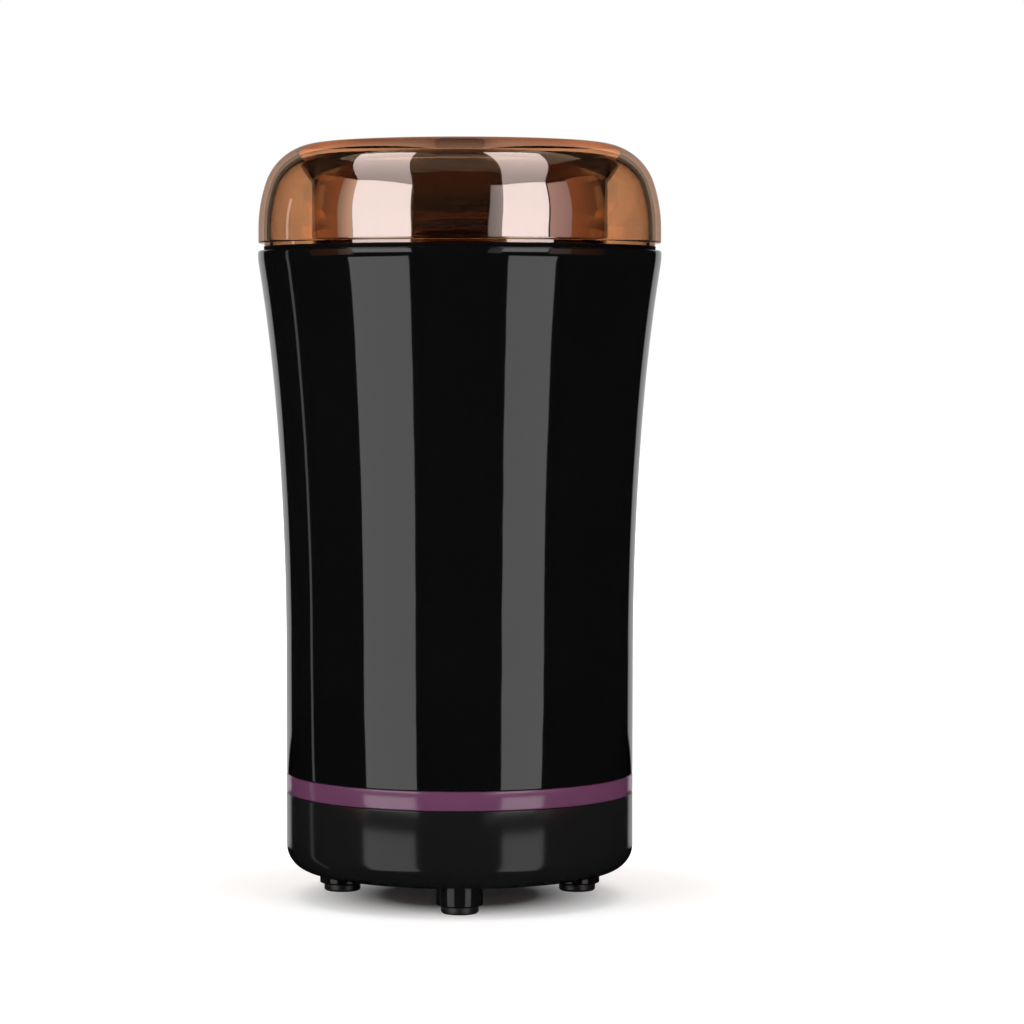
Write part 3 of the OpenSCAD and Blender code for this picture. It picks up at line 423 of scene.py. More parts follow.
def sheet(name, corners, levels, tone="#ffffff"):
    # plane whose corners are carried to their places, with its level blended between them
    glowing, tree = newMaterial(name + "Glow")
    spread = addNode(tree, "ShaderNodeSeparateXYZ", {0: addNode(tree, "ShaderNodeTexCoord").outputs["UV"]})
    first, last = [addNode(tree, "ShaderNodeMapRange", {
        "Value": spread.outputs["X"], "To Min": fromLevel, "To Max": toLevel})
        for fromLevel, toLevel in (levels[:2], (levels[3], levels[2]))]
    level = addNode(tree, "ShaderNodeMapRange", {
        "Value": spread.outputs["Y"], "To Min": first, "To Max": last})
    glow = addNode(tree, "ShaderNodeEmission", {"Color": linear(tone), "Strength": level})
    addNode(tree, "ShaderNodeOutputMaterial", {"Surface": glow})
    bpy.ops.mesh.primitive_plane_add(size=2, location=(0, 0, 0))
    made = bpy.context.object
    made.name = made.data.name = name
    for i, corner in zip((0, 1, 3, 2), corners):
        side, up = math.radians(corner[0]), math.radians(corner[1])
        aim = Vector((math.sin(side) * math.cos(up), -math.cos(side) * math.cos(up), math.sin(up)))
        place = aim * corner[2]
        chooseVertices(made, lambda index, co: index == i)
        bpy.ops.transform.translate(value=place - made.data.vertices[i].co)
        bpy.ops.object.mode_set(mode="OBJECT")
    made.data.materials.append(glowing)
    made.visible_camera = made.visible_shadow = False


for name, look in sheetSet.items():
    sheet(name, **look)

bpy.ops.mesh.primitive_plane_add(size=floorSet["size"], location=(0, 0, 0))
floor = bpy.context.object
floor.name = "floor"
floor.data.materials.append(floorFinish)
floor.visible_glossy = False
print("camera, lamps and floor are set")


def closeFinish(tree, look, share, height, patternMm, metallic):
    # two tones mixed by share; roughness and bump follow the height of the pattern
    bumpShare = 0.3
    colour = addNode(tree, "ShaderNodeMix", {
        "Factor": share, "A": linear(look["dark"]), "B": linear(look["light"])}, data_type="RGBA")
    rough = addNode(tree, "ShaderNodeMapRange", {
        "Value": height, "To Min": look["rough"][0], "To Max": look["rough"][1]})
    bump = addNode(tree, "ShaderNodeBump", {
        "Height": height, "Strength": look["bump"], "Distance": patternMm * mm * bumpShare})
    shade = addNode(tree, "ShaderNodeBsdfPrincipled", {
        "Base Color": colour, "Roughness": rough, "Normal": bump, "Metallic": metallic,
        "IOR": look.get("ior", 1.5), **look.get("more", {})})
    addNode(tree, "ShaderNodeOutputMaterial", {"Surface": shade})


def plainFinish(name, look):
    # two tones, a grain in the roughness and a fine bump; grainMm and toneMm are the patterns' real sizes
    made, tree = newMaterial(name)
    place = addNode(tree, "ShaderNodeTexCoord").outputs["Object"]
    grain, tones = [addNode(tree, "ShaderNodeTexNoise", {
        "Vector": place, "Scale": 1 / (look[size] * mm), "Detail": detail})
        for size, detail in (("grainMm", 2.0), ("toneMm", 3.0))]
    closeFinish(tree, look, tones, grain, look["grainMm"], look.get("metallic", 0.0))
    return made


# Gloss black ABS from a polished mould: deep black with sharp reflections
glossBlack = plainFinish("absGlossMoulded", {
    "dark": "#0b0b0c", "light": "#0f0f10", "grainMm": 30, "toneMm": 60,
    "rough": (0.03, 0.06), "bump": 0.01, "ior": 1.5})
# Black ABS of the base, moulded a little duller, so its reflections are half as bright
baseBlack = plainFinish("absSatinMoulded", {
    "dark": "#161617", "light": "#1c1c1d", "grainMm": 20, "toneMm": 40,
    "rough": (0.1, 0.14), "bump": 0.01, "ior": 1.5,
    "more": {"Specular IOR Level": 0.3}})
# Plum ABS of the ring, moulded: a mid tone with a soft shine
plumAbs = plainFinish("absPlumMoulded", {
    "dark": "#6c4060", "light": "#734666", "grainMm": 0.5, "toneMm": 12,
    "rough": (0.1, 0.15), "bump": 0.02, "ior": 1.62})
# Natural rubber of the pads, moulded: dull black with a dusty bloom
padRubber = plainFinish("rubberMoulded", {
    "dark": "#1a1a1a", "light": "#2a2a29", "grainMm": 0.25, "toneMm": 3,
    "rough": (0.34, 0.5), "bump": 0.2, "ior": 1.52})
# Near-black silicone, soft and dull, for the band round the spigot: its dark is painted shade for the gap
# between lid and body
gapShadeRubber = plainFinish("siliconeGapShade", {
    "dark": "#020202", "light": "#050505", "grainMm": 0.25, "toneMm": 3,
    "rough": (0.6, 0.8), "bump": 0.1, "ior": 1.42,
    "more": {"Specular IOR Level": 0.2}})


def linedFinish(name, look):
    # metal with fine lines from a tool, or from stacked sheets and wires. They run round the axis, or step
    # along X, Y or Z; even lines repeat at lineMm, the others are drawn at random
    made, tree = newMaterial(name)
    place = addNode(tree, "ShaderNodeTexCoord").outputs["Object"]
    axes = addNode(tree, "ShaderNodeSeparateXYZ", {0: place})
    if look["run"] == "round":
        flat = addNode(tree, "ShaderNodeVectorMath", {0: place, 1: (1, 1, 0)}, operation="MULTIPLY")
        out = addNode(tree, "ShaderNodeVectorMath", {0: flat}, operation="LENGTH").outputs["Value"]
        along = addNode(tree, "ShaderNodeMath", {0: out, 1: axes.outputs["Z"]}, operation="ADD")
    else:
        along = axes.outputs[look["run"]]
    count = addNode(tree, "ShaderNodeMath", {0: along, 1: 1 / (look["lineMm"] * mm)}, operation="MULTIPLY")
    if look.get("even"):
        turns = addNode(tree, "ShaderNodeMath", {0: count, 1: 2 * math.pi}, operation="MULTIPLY")
        wave = addNode(tree, "ShaderNodeMath", {0: turns}, operation="SINE")
        height = addNode(tree, "ShaderNodeMapRange", {"Value": wave, "From Min": -1.0, "From Max": 1.0})
    else:
        height = addNode(tree, "ShaderNodeTexNoise", {"W": count, "Scale": 1.0, "Detail": 2.0},
                         noise_dimensions="1D")
    tones = addNode(tree, "ShaderNodeTexNoise", {
        "Vector": place, "Scale": 1 / (look["toneMm"] * mm), "Detail": 2.0})
    share = addNode(tree, "ShaderNodeMath", {0: height, 1: tones}, operation="MULTIPLY")
    closeFinish(tree, look, share, height, look["lineMm"], 1.0)
    return made


# Polypropylene of the carrier, moulded: black with a soft even shine
carrierBlack = plainFinish("polypropyleneMoulded", {
    "dark": "#101011", "light": "#1a1a1b", "grainMm": 0.4, "toneMm": 8,
    "rough": (0.34, 0.46), "bump": 0.12, "ior": 1.49})
# Stainless bowl, drawn and turned bright: faint rings round the axis, blurred along them
bowlSteel = linedFinish("stainlessDrawnTurned", {
    "dark": "#b9b7b3", "light": "#dad9d6", "run": "round", "lineMm": 0.18, "toneMm": 20,
    "rough": (0.13, 0.24), "bump": 0.12})
# Stainless blades, ground on a turning table: bright with fine curved scratches
bladeSteel = linedFinish("stainlessGround", {
    "dark": "#a9aaac", "light": "#dcdde0", "run": "round", "lineMm": 0.08, "toneMm": 6,
    "rough": (0.16, 0.32), "bump": 0.2})
# Turned steel of the shaft, the hub and the nut: tight rings along the axis
turnedSteel = linedFinish("steelTurned", {
    "dark": "#8f9194", "light": "#c6c8cb", "run": "Z", "lineMm": 0.12, "toneMm": 4,
    "rough": (0.18, 0.34), "bump": 0.15})
# Rolled screws with a bright zinc layer: a little milky
screwSteel = plainFinish("steelZincPlated", {
    "dark": "#a6a9ad", "light": "#c9ccce", "grainMm": 0.25, "toneMm": 2,
    "rough": (0.26, 0.42), "bump": 0.1, "metallic": 1.0})
# Spring wire, drawn and oiled: darker than the screws
springWire = plainFinish("steelDrawnWire", {
    "dark": "#7e8186", "light": "#a8abb0", "grainMm": 0.15, "toneMm": 1.5,
    "rough": (0.22, 0.36), "bump": 0.08, "metallic": 1.0})
# Zinc brackets, die cast: matt grey skin with small flow marks
castZinc = plainFinish("zincDieCast", {
    "dark": "#85888b", "light": "#a3a6a9", "grainMm": 0.6, "toneMm": 7,
    "rough": (0.42, 0.58), "bump": 0.25, "metallic": 1.0})
# Bearings of bronze powder, pressed and sintered: open pores full of oil
sinteredBronze = plainFinish("bronzeSintered", {
    "dark": "#6f4522", "light": "#a8743f", "grainMm": 0.12, "toneMm": 2,
    "rough": (0.4, 0.62), "bump": 0.4, "metallic": 1.0})
# Core of stamped steel sheets: the edges of half-millimetre laminations
coreSteel = linedFinish("siliconSteelLaminated", {
    "dark": "#35373b", "light": "#787c82", "run": "Z", "lineMm": 0.5, "even": True, "toneMm": 6,
    "rough": (0.34, 0.52), "bump": 0.5})
# Enamelled copper wire, wound in layers: a row of round wires under clear varnish
woundCopper = linedFinish("copperWireEnamelled", {
    "dark": "#5c2410", "light": "#c0703a", "run": "Z", "lineMm": 0.42, "even": True, "toneMm": 5,
    "rough": (0.25, 0.4), "bump": 0.8,
    "more": {"Coat Weight": 0.6, "Coat Roughness": 0.15}})
# Commutator bars of hard copper, turned and worn by the brushes: a dark band of film on bright rings
turnedCopper = linedFinish("copperTurned", {
    "dark": "#6a3418", "light": "#c98550", "run": "Z", "lineMm": 0.25, "toneMm": 1.5,
    "rough": (0.2, 0.4), "bump": 0.25})
# Brass terminals and brush holders, stamped: yellow with a soft tarnish
stampedBrass = plainFinish("brassStamped", {
    "dark": "#96752f", "light": "#c9a552", "grainMm": 0.3, "toneMm": 2.5,
    "rough": (0.26, 0.42), "bump": 0.1, "metallic": 1.0})
# Brushes of pressed carbon: dead matt with a grey glint
pressedCarbon = plainFinish("carbonPressed", {
    "dark": "#121315", "light": "#2a2c2f", "grainMm": 0.2, "toneMm": 1.2,
    "rough": (0.55, 0.75), "bump": 0.35, "ior": 1.8})
# Nylon of the fan, natural and moulded: warm white, slightly waxy
nylonWhite = plainFinish("nylonMoulded", {
    "dark": "#d3d0c4", "light": "#e6e3d9", "grainMm": 0.5, "toneMm": 9,
    "rough": (0.38, 0.5), "bump": 0.08, "ior": 1.53,
    "more": {"Subsurface Weight": 0.15, "Subsurface Scale": 0.002}})
# Acetal of the pushrod and the plunger: whiter and slicker than nylon
acetalWhite = plainFinish("acetalMoulded", {
    "dark": "#dcdad2", "light": "#efeee8", "grainMm": 0.6, "toneMm": 6,
    "rough": (0.28, 0.38), "bump": 0.05, "ior": 1.48,
    "more": {"Subsurface Weight": 0.1, "Subsurface Scale": 0.0015}})
# Thermoset case of the switch: grey-black, hard and even
switchCase = plainFinish("phenolicMoulded", {
    "dark": "#1d1d20", "light": "#2b2b2f", "grainMm": 0.25, "toneMm": 4,
    "rough": (0.4, 0.55), "bump": 0.15, "ior": 1.6})
# Film capacitor in a moulded yellow box with an epoxy face
boxYellow = plainFinish("polyesterBoxMoulded", {
    "dark": "#b98f1f", "light": "#d9b23c", "grainMm": 0.4, "toneMm": 5,
    "rough": (0.32, 0.45), "bump": 0.1, "ior": 1.55})
# PVC leads, extruded: smooth red with a soft shine
leadRed = plainFinish("pvcExtruded", {
    "dark": "#8e2a20", "light": "#b53c2f", "grainMm": 0.3, "toneMm": 5,
    "rough": (0.36, 0.48), "bump": 0.06, "ior": 1.53})
# Glazed ceramic body of the thermal fuse: off-white
fuseCeramic = plainFinish("ceramicGlazed", {
    "dark": "#c6c2b5", "light": "#ded9cd", "grainMm": 0.5, "toneMm": 3,
    "rough": (0.2, 0.32), "bump": 0.06, "ior": 1.55})

# the body's side: upright, then a flare of two arcs that turns back to upright under the rim
flareSet = {"lowRadius": 41.1, "ringTop": 29.5, "flareStart": 57.85, "bend": (43.401, 115.85),
            "back": (47.37, 149.25), "rim": (47.6, 152.25), "wall": 2.5, "rimWall": 1.1, "ledge": 146.45,
            "top": 152.85, "edge": 0.3, "rimRound": 0.6, "rimFromDeg": 14, "steps": 26, "backSteps": 8}


def lean(a, b):
    return math.atan2(b[0] - a[0], b[1] - a[1])


def bowPoints(a, b, start, inset, count):
    # arc from a to b that leaves a at an angle from the vertical, moved inwards by inset
    half = lean(a, b) - start
    radius = math.dist(a, b) / (2 * math.sin(half))
    points = []
    for i in range(1, count + 1):
        t = half * i / count
        reach = 2 * radius * math.sin(t)
        points.append((a[0] + reach * math.sin(start + t) - inset * math.cos(start + 2 * t),
                       a[1] + reach * math.cos(start + t) + inset * math.sin(start + 2 * t)))
    return points


def flareSide(inset):
    low, steps = (flareSet["lowRadius"], flareSet["flareStart"]), flareSet["steps"]
    bend, back, rim = flareSet["bend"], flareSet["back"], flareSet["rim"]
    turn = 2 * lean(low, bend)
    upper = 2 * lean(bend, back) - turn
    return [(low[0] - inset, low[1])] + bowPoints(low, bend, 0, inset, steps) \
        + bowPoints(bend, back, turn, inset, steps) \
        + bowPoints(back, rim, upper, inset, flareSet["backSteps"])


def radiusAt(z):
    # outside radius of the body between the points of its side
    side = flareSide(0)
    for a, b in zip(side, side[1:]):
        if a[1] <= z <= b[1]:
            return a[0] + (b[0] - a[0]) * (z - a[1]) / (b[1] - a[1])
    return flareSet["lowRadius"]


low, ringTop, top = flareSet["lowRadius"], flareSet["ringTop"], flareSet["top"]
ledgeRadius = radiusAt(flareSet["ledge"]) - flareSet["rimWall"]
edge, rimRound, rimOuter = flareSet["edge"], flareSet["rimRound"], flareSet["rim"][0]
rimInner = rimOuter - flareSet["rimWall"]
outside = arcPoints((low - edge, ringTop + edge), edge, -90, 0, 3) + flareSide(0) \
    + arcPoints((rimOuter - rimRound, top - rimRound), rimRound, flareSet["rimFromDeg"], 90, 6)
inside = arcPoints((rimInner + edge, top - edge), edge, 90, 180, 3) + [(ledgeRadius, flareSet["ledge"])] \
    + [p for p in reversed(flareSide(flareSet["wall"])) if p[1] < flareSet["ledge"]] \
    + [(low - flareSet["wall"], ringTop)]
body = spun("body", outside + inside, steps=192)
finishPiece(body, glossBlack, "housing", ["body_shell"])
print("body is made")

feet = {"angles": (-90, 14, 90, 166), "circle": 29.0}

# posts that the base's screws go up into
postSet = {"radius": 3.6, "hole": 1.65, "low": 29.5, "high": 38.5, "holeEdge": 0.2, "lowEdge": 0.3,
           "highEdge": 0.4}
post = spun("bodyPost1", rounded([
    (postSet["hole"], postSet["low"], postSet["holeEdge"]),
    (postSet["radius"], postSet["low"], postSet["lowEdge"]),
    (postSet["radius"], postSet["high"], postSet["highEdge"]),
    (postSet["hole"], postSet["high"], postSet["holeEdge"])]), steps=32)
placed(post, (feet["circle"], 0, 0))
for i, angle in enumerate(feet["angles"]):
    finishPiece(turned(post, f"bodyPost{i + 1}", angle), glossBlack, "housing")
choosePiece(post)
bpy.ops.object.delete()

ringSet = {"inner": 38.55, "outer": 41.1, "low": 25.0, "high": 29.5, "edge": 0.35, "innerEdge": 0.1}
ring = spun("plumRing", rounded([
    (ringSet["inner"], ringSet["low"], ringSet["innerEdge"]),
    (ringSet["outer"], ringSet["low"], ringSet["edge"]),
    (ringSet["outer"], ringSet["high"], ringSet["edge"]),
    (ringSet["inner"], ringSet["high"], ringSet["innerEdge"])]), steps=192)
finishPiece(ring, plumAbs, "housing", ["trim_ring"])

baseSet = {"low": 6.5, "high": 25.0, "radius": 41.1, "round": 6.0, "wall": 2.2, "floor": 2.4, "edge": 0.35,
           "floorRings": (6, 16, 26), "sleeve": 38.4, "sleeveThick": 1.8, "sleeveTop": 33.9,
           "sleeveLow": 23.5, "sleeveEdge": 0.3, "slope": 1.6, "footHole": 4.4, "vents": 7,
           "ventPitch": 4.6, "ventLength": 17, "ventLess": 1.1, "ventWidth": 2.0, "past": 1}
low, high, radius = baseSet["low"], baseSet["high"], baseSet["radius"]
insideRound, floorTop = baseSet["round"] - baseSet["wall"], low + baseSet["floor"]
sleeve, sleeveTop, sleeveEdge = baseSet["sleeve"], baseSet["sleeveTop"], baseSet["sleeveEdge"]
sleeveIn = sleeve - baseSet["sleeveThick"]
baseOutline = [(0, low)] + [(r, low) for r in baseSet["floorRings"]] \
    + arcPoints((radius - baseSet["round"], low + baseSet["round"]), baseSet["round"], -90, 0, 16) \
    + arcPoints((radius - baseSet["edge"], high - baseSet["edge"]), baseSet["edge"], 0, 90, 4) \
    + [(sleeve, high), (sleeve, sleeveTop - sleeveEdge), (sleeve - sleeveEdge, sleeveTop),
       (sleeveIn, sleeveTop), (sleeveIn, baseSet["sleeveLow"]),
       (radius - baseSet["wall"], baseSet["sleeveLow"] - baseSet["slope"])] \
    + arcPoints((radius - baseSet["round"], floorTop + insideRound), insideRound, 0, -90, 8) \
    + [(r, floorTop) for r in reversed(baseSet["floorRings"])] + [(0, floorTop)]
base = spun("base", baseOutline, steps=192, closed=False)
glandSet = {"azimuth": 45, "z": 16.4, "bore": 3.1, "neck": 4.25, "flange": 5.3, "flangeThick": 1.4,
            "inner": 38.44, "wall": 41.1, "play": 0.05, "bead": 1.55, "cutAt": 40, "cutDepth": 12}
cutFrom, cutTo = low - baseSet["past"], floorTop + baseSet["past"]
cutters = []
for i in range(baseSet["vents"]):
    row = i - (baseSet["vents"] - 1) / 2
    cutters.append(slotCutter(baseSet["ventLength"] - baseSet["ventLess"] * abs(row), baseSet["ventWidth"],
                              cutFrom, cutTo, (0, row * baseSet["ventPitch"])))
for angle in feet["angles"]:
    x, y = feet["circle"] * math.cos(math.radians(angle)), feet["circle"] * math.sin(math.radians(angle))
    cutters.append(slotCutter(0, 2 * baseSet["footHole"], cutFrom, cutTo, (x, y)))
bpy.ops.mesh.primitive_cylinder_add(
    vertices=48, radius=(glandSet["neck"] + glandSet["play"]) * mm, depth=glandSet["cutDepth"] * mm)
hole = bpy.context.object
glandTurn, glandAt = math.radians(glandSet["azimuth"]), glandSet["cutAt"]
cutters.append(placed(hole, (glandAt * math.cos(glandTurn), glandAt * math.sin(glandTurn), glandSet["z"]),
                      (0, 90, glandSet["azimuth"])))
cut(base, cutters)
finishPiece(base, baseBlack, "housing", ["base_cup"])

# each foot is a sleeve under the floor with a post above it, bored for the pad and the screw
footSet = {"radius": 5.35, "low": 1.9, "recess": 3.4, "recessTop": 11.3, "post": 4.6, "high": 29.4,
           "hole": 1.65, "sink": 0.3, "edge": 0.35, "postEdge": 0.3, "holeEdge": 0.2}
footStep = baseSet["low"] + footSet["sink"]
foot = spun("foot", rounded([
    (footSet["recess"], footSet["low"], footSet["holeEdge"]),
    (footSet["radius"], footSet["low"], footSet["edge"]),
    (footSet["radius"], footStep), (footSet["post"], footStep),
    (footSet["post"], footSet["high"], footSet["postEdge"]),
    (footSet["hole"], footSet["high"], footSet["holeEdge"]),
    (footSet["hole"], footSet["recessTop"]), (footSet["recess"], footSet["recessTop"])]), steps=64)
placed(foot, (feet["circle"], 0, 0))
padSet = {"radius": 4.35, "plug": 3.35, "high": 1.9, "plugTop": 6.9, "round": 0.7, "topRound": 0.3,
          "plugEdge": 0.4,
          "tread": [(0, 0.35), (1.3, 0.35), (1.5, 0.1), (1.7, 0), (2.4, 0), (2.6, 0.25), (2.9, 0.25),
                    (3.1, 0)]}
padRound, padTop, plugEdge = padSet["round"], padSet["topRound"], padSet["plugEdge"]
pad = spun("pad", padSet["tread"]
           + arcPoints((padSet["radius"] - padRound, padRound), padRound, -90, 0, 6)
           + arcPoints((padSet["radius"] - padTop, padSet["high"] - padTop), padTop, 0, 90, 4)
           + [(padSet["plug"], padSet["high"]), (padSet["plug"], padSet["plugTop"] - plugEdge),
              (padSet["plug"] - plugEdge, padSet["plugTop"]), (0, padSet["plugTop"])], steps=64, closed=False)
placed(pad, (feet["circle"], 0, 0))
for i, angle in enumerate(feet["angles"]):
    finishPiece(turned(foot, f"foot{i + 1}", angle), baseBlack, "housing")
    finishPiece(turned(pad, f"footPad{i + 1}", angle), padRubber, "housing",
                ["foot_pads"] if i == 0 else ())
for piece in (foot, pad):
    choosePiece(piece)
    bpy.ops.object.delete()

# rubber gland: two flanges hold it in the wall, with a bead round the mouth
inner, wall, flange = glandSet["inner"], glandSet["wall"], glandSet["flange"]
innerFace, bead = inner - glandSet["flangeThick"], wall + glandSet["bead"]
gland = spun("cordGland", rounded([
    (glandSet["bore"], innerFace, 0.3), (flange, innerFace, 0.4), (flange, inner, 0.1),
    (glandSet["neck"], inner),
    (glandSet["neck"], wall + glandSet["play"]), (flange, wall + glandSet["play"], 0.2),
    (flange - 0.5, bead, 0.6), (glandSet["bore"], bead, 0.5)]), steps=64)
placed(gland, (0, 0, glandSet["z"]), (0, 90, glandSet["azimuth"]))
finishPiece(gland, padRubber, "housing", ["cord_gland"])
print("ring, base, feet and gland are made")

lidSet = {"radius": 47.5, "low": 154.55, "high": 178.05, "wall": 2.8, "topThick": 3.6, "sideHeight": 3.3,
          "sideRadius": 35.0, "sideTurn": 18, "blendDeg": 2, "lowRound": 0.4, "cornerTop": 0.55,
          "skirtRadius": 34.9, "skirtThick": 2.0, "skirtLow": 150.35, "skirtEdge": 0.3, "skirtInEdge": 0.5,
          "ceilingRound": 1, "flare": 9.2, "flareWidth": 3.1, "topRings": 6,
          "spigotInset": 1.35, "spigot": 4.1, "spigotTip": ((0.87, 0), (0.57, 0.3)), "spigotCorner": 0.05}
radius, lidLow, lidHigh = lidSet["radius"], lidSet["low"], lidSet["high"]
sideRadius, sideTurn, wall = lidSet["sideRadius"], lidSet["sideTurn"], lidSet["wall"]
sideCentre = (radius - sideRadius, lidLow + lidSet["sideHeight"])
turn = math.radians(sideTurn)
sideEnd = (sideCentre[0] + sideRadius * math.cos(turn), sideCentre[1] + sideRadius * math.sin(turn))
shoulder = (lidHigh - sideEnd[1]) / (1 - math.sin(turn))
shoulderCentre = (sideEnd[0] - shoulder * math.cos(turn), sideEnd[1] - shoulder * math.sin(turn))
shoulderFrom = sideTurn + lidSet["blendDeg"]
spigot, spigotLow = radius - lidSet["spigotInset"], lidLow - lidSet["spigot"]
spigotCorner, lowRound = lidSet["spigotCorner"], lidSet["lowRound"]
ceiling, ceilingRound = lidHigh - lidSet["topThick"], lidSet["ceilingRound"]
skirt, skirtLow, skirtEdge = lidSet["skirtRadius"], lidSet["skirtLow"], lidSet["skirtEdge"]
skirtIn, flareLow = skirt - lidSet["skirtThick"], lidHigh - lidSet["flare"]
flareEnd = math.degrees(math.acos((skirt + lidSet["flareWidth"] - shoulderCentre[0]) / (shoulder - wall)))
# the point above the low corner keeps the corner's shading off the side
outer = [(spigot - inset, spigotLow + up) for inset, up in lidSet["spigotTip"]] \
    + [(spigot, lidLow - spigotCorner), (spigot + spigotCorner, lidLow)] \
    + arcPoints((radius - lowRound, lidLow + lowRound), lowRound, -90, 0, 4) \
    + [(radius, lidLow + lidSet["cornerTop"])] \
    + arcPoints(sideCentre, sideRadius, 0, sideTurn, 12) \
    + arcPoints(shoulderCentre, shoulder, shoulderFrom, 90, 26) \
    + [(shoulderCentre[0] * (1 - i / lidSet["topRings"]), lidHigh) for i in range(1, lidSet["topRings"] + 1)]
inner = [(0, ceiling), (skirtIn - ceilingRound, ceiling)] \
    + arcPoints((skirtIn - ceilingRound, ceiling - ceilingRound), ceilingRound, 90, 0, 4)[1:] \
    + [(skirtIn, skirtLow + lidSet["skirtInEdge"]), (skirtIn + skirtEdge, skirtLow),
       (skirt - skirtEdge, skirtLow), (skirt, skirtLow + skirtEdge), (skirt, flareLow)] \
    + arcPoints(shoulderCentre, shoulder - wall, flareEnd, shoulderFrom, 16) \
    + arcPoints(sideCentre, sideRadius - wall, sideTurn, 0, 10) + [(radius - wall, spigotLow)]
lid = spun("lid", outer + inner, steps=192)

resinSet = {"ior": 1.49, "flowScale": 60.0, "bump": 0.03, "depthMm": 0.2, "glint": "#e0b090",
            "filmGlint": "#c08a68"}
# the film mirrors a third of the light
filmSet = {"share": 0.33, "tone": "#f4e0da", "rough": 0.02}


def tintedResin(name, tint, film=None):
    # clear amber resin; the film is vapour-laid metal, so thin that it is half mirror and half window
    made, tree = newMaterial(name)
    place = addNode(tree, "ShaderNodeTexCoord").outputs["Object"]
    flow = addNode(tree, "ShaderNodeTexNoise", {
        "Vector": place, "Scale": resinSet["flowScale"], "Detail": 1.0})
    bump = addNode(tree, "ShaderNodeBump", {
        "Height": flow, "Strength": resinSet["bump"], "Distance": resinSet["depthMm"] * mm})
    shade = addNode(tree, "ShaderNodeBsdfPrincipled", {
        "Base Color": linear(tint), "Roughness": 0.0, "IOR": resinSet["ior"], "Transmission Weight": 1.0,
        "Normal": bump, "Specular Tint": linear(resinSet["glint"]) if film else (1, 1, 1, 1)})
    if film:
        mirror = addNode(tree, "ShaderNodeBsdfPrincipled", {
            "Base Color": linear(film["tone"]), "Metallic": 1.0, "Roughness": film["rough"], "Normal": bump,
            "Specular Tint": linear(resinSet["filmGlint"])})
        shade = addNode(tree, "ShaderNodeMixShader", {"Fac": film["share"], 1: shade, 2: mirror})
    addNode(tree, "ShaderNodeOutputMaterial", {"Surface": shade})
    return made


# AS resin, moulded clear in amber, with a thin copper-grey film outside
lidOutside = tintedResin("asResinFilmOutside", "#fed9b9", filmSet)
lidInside = tintedResin("asResinInside", "#fed3ad")
# the skirt and the tab take a deep brown that is painted shade: it darkens the lid's middle, so what is
# behind them hardly shows
skirtShadeBrown = tintedResin("asResinBrownPaintedShade", "#6b4524")
for made in (lidOutside, lidInside, skirtShadeBrown):
    lid.data.materials.append(made)
# the painted-shade brown takes in the skirt, its flare and the ceiling over it; the film is on what faces out
shadeBrownSet = {"past": 0.05, "flarePast": 3.3, "over": 0.01}
shoulderLean = 0.8
for face in lid.data.polygons:
    x, y, z = face.center / mm
    past = shadeBrownSet["past"] if z < flareLow else shadeBrownSet["flarePast"]
    inWall = math.hypot(x, y) < skirt + past and z < ceiling + shadeBrownSet["over"]
    outSide = face.normal.dot(Vector((x, y, shoulderLean * max(0, z - lidLow)))) > 0
    face.material_index = 2 if inWall else 0 if outSide else 1
finishPiece(lid, None, "lid", ["lid_shell"])

# black band round the spigot, painted shade: it is what shows dark in the gap between lid and body, where
# there is only shadow
gapBandSet = {"top": 0.75, "low": 2.6, "thick": 0.22, "lean": 0.14, "inset": 0.12, "sink": 0.02, "taper": 0.6,
           "edge": 0.2}
gapBandTop, gapBandLow = lidLow - gapBandSet["top"], lidLow - gapBandSet["low"]
gapBandThin = gapBandSet["thick"] * gapBandSet["taper"]
gapBandFoot, gapBandHead = spigot - gapBandSet["low"] * gapBandSet["lean"], spigot - gapBandSet["inset"]
lidGapShadeBand = spun("lidGapShadeBand", [
    (gapBandFoot + gapBandSet["sink"], gapBandLow), (gapBandFoot + gapBandThin, gapBandLow),
    (gapBandHead + gapBandSet["thick"], gapBandTop - gapBandSet["edge"]), (gapBandHead + gapBandThin, gapBandTop),
    (spigot - gapBandSet["sink"], gapBandTop)], steps=192)
finishPiece(lidGapShadeBand, gapShadeRubber, "lid")

# tab that reaches through the deck to the pushrod's nub
tabSet = {"y": (39.6, 42.4, 44.6), "z": (148.9, 150.45, 155.5), "width": 5.2, "edge": 0.35}
near, step, far = tabSet["y"]
bottom, ledge, upper = tabSet["z"]
tab = traced("lidTab", [(-tabSet["width"] / 2, y, z) for y, z in (
    (near, bottom), (step, bottom), (step, ledge), (far, ledge), (far, upper), (near, upper))])
bpy.ops.mesh.select_all(action="SELECT")
bpy.ops.mesh.edge_face_add()
bpy.ops.mesh.extrude_region_move(TRANSFORM_OT_translate={"value": (tabSet["width"] * mm, 0, 0)})
bpy.ops.mesh.select_all(action="SELECT")
bpy.ops.mesh.normals_make_consistent(inside=False)
bpy.ops.mesh.bevel(offset=tabSet["edge"] * mm, segments=3, affect="EDGES")
bpy.ops.object.mode_set(mode="OBJECT")
finishPiece(tab, skirtShadeBrown, "lid")
print("lid is made")

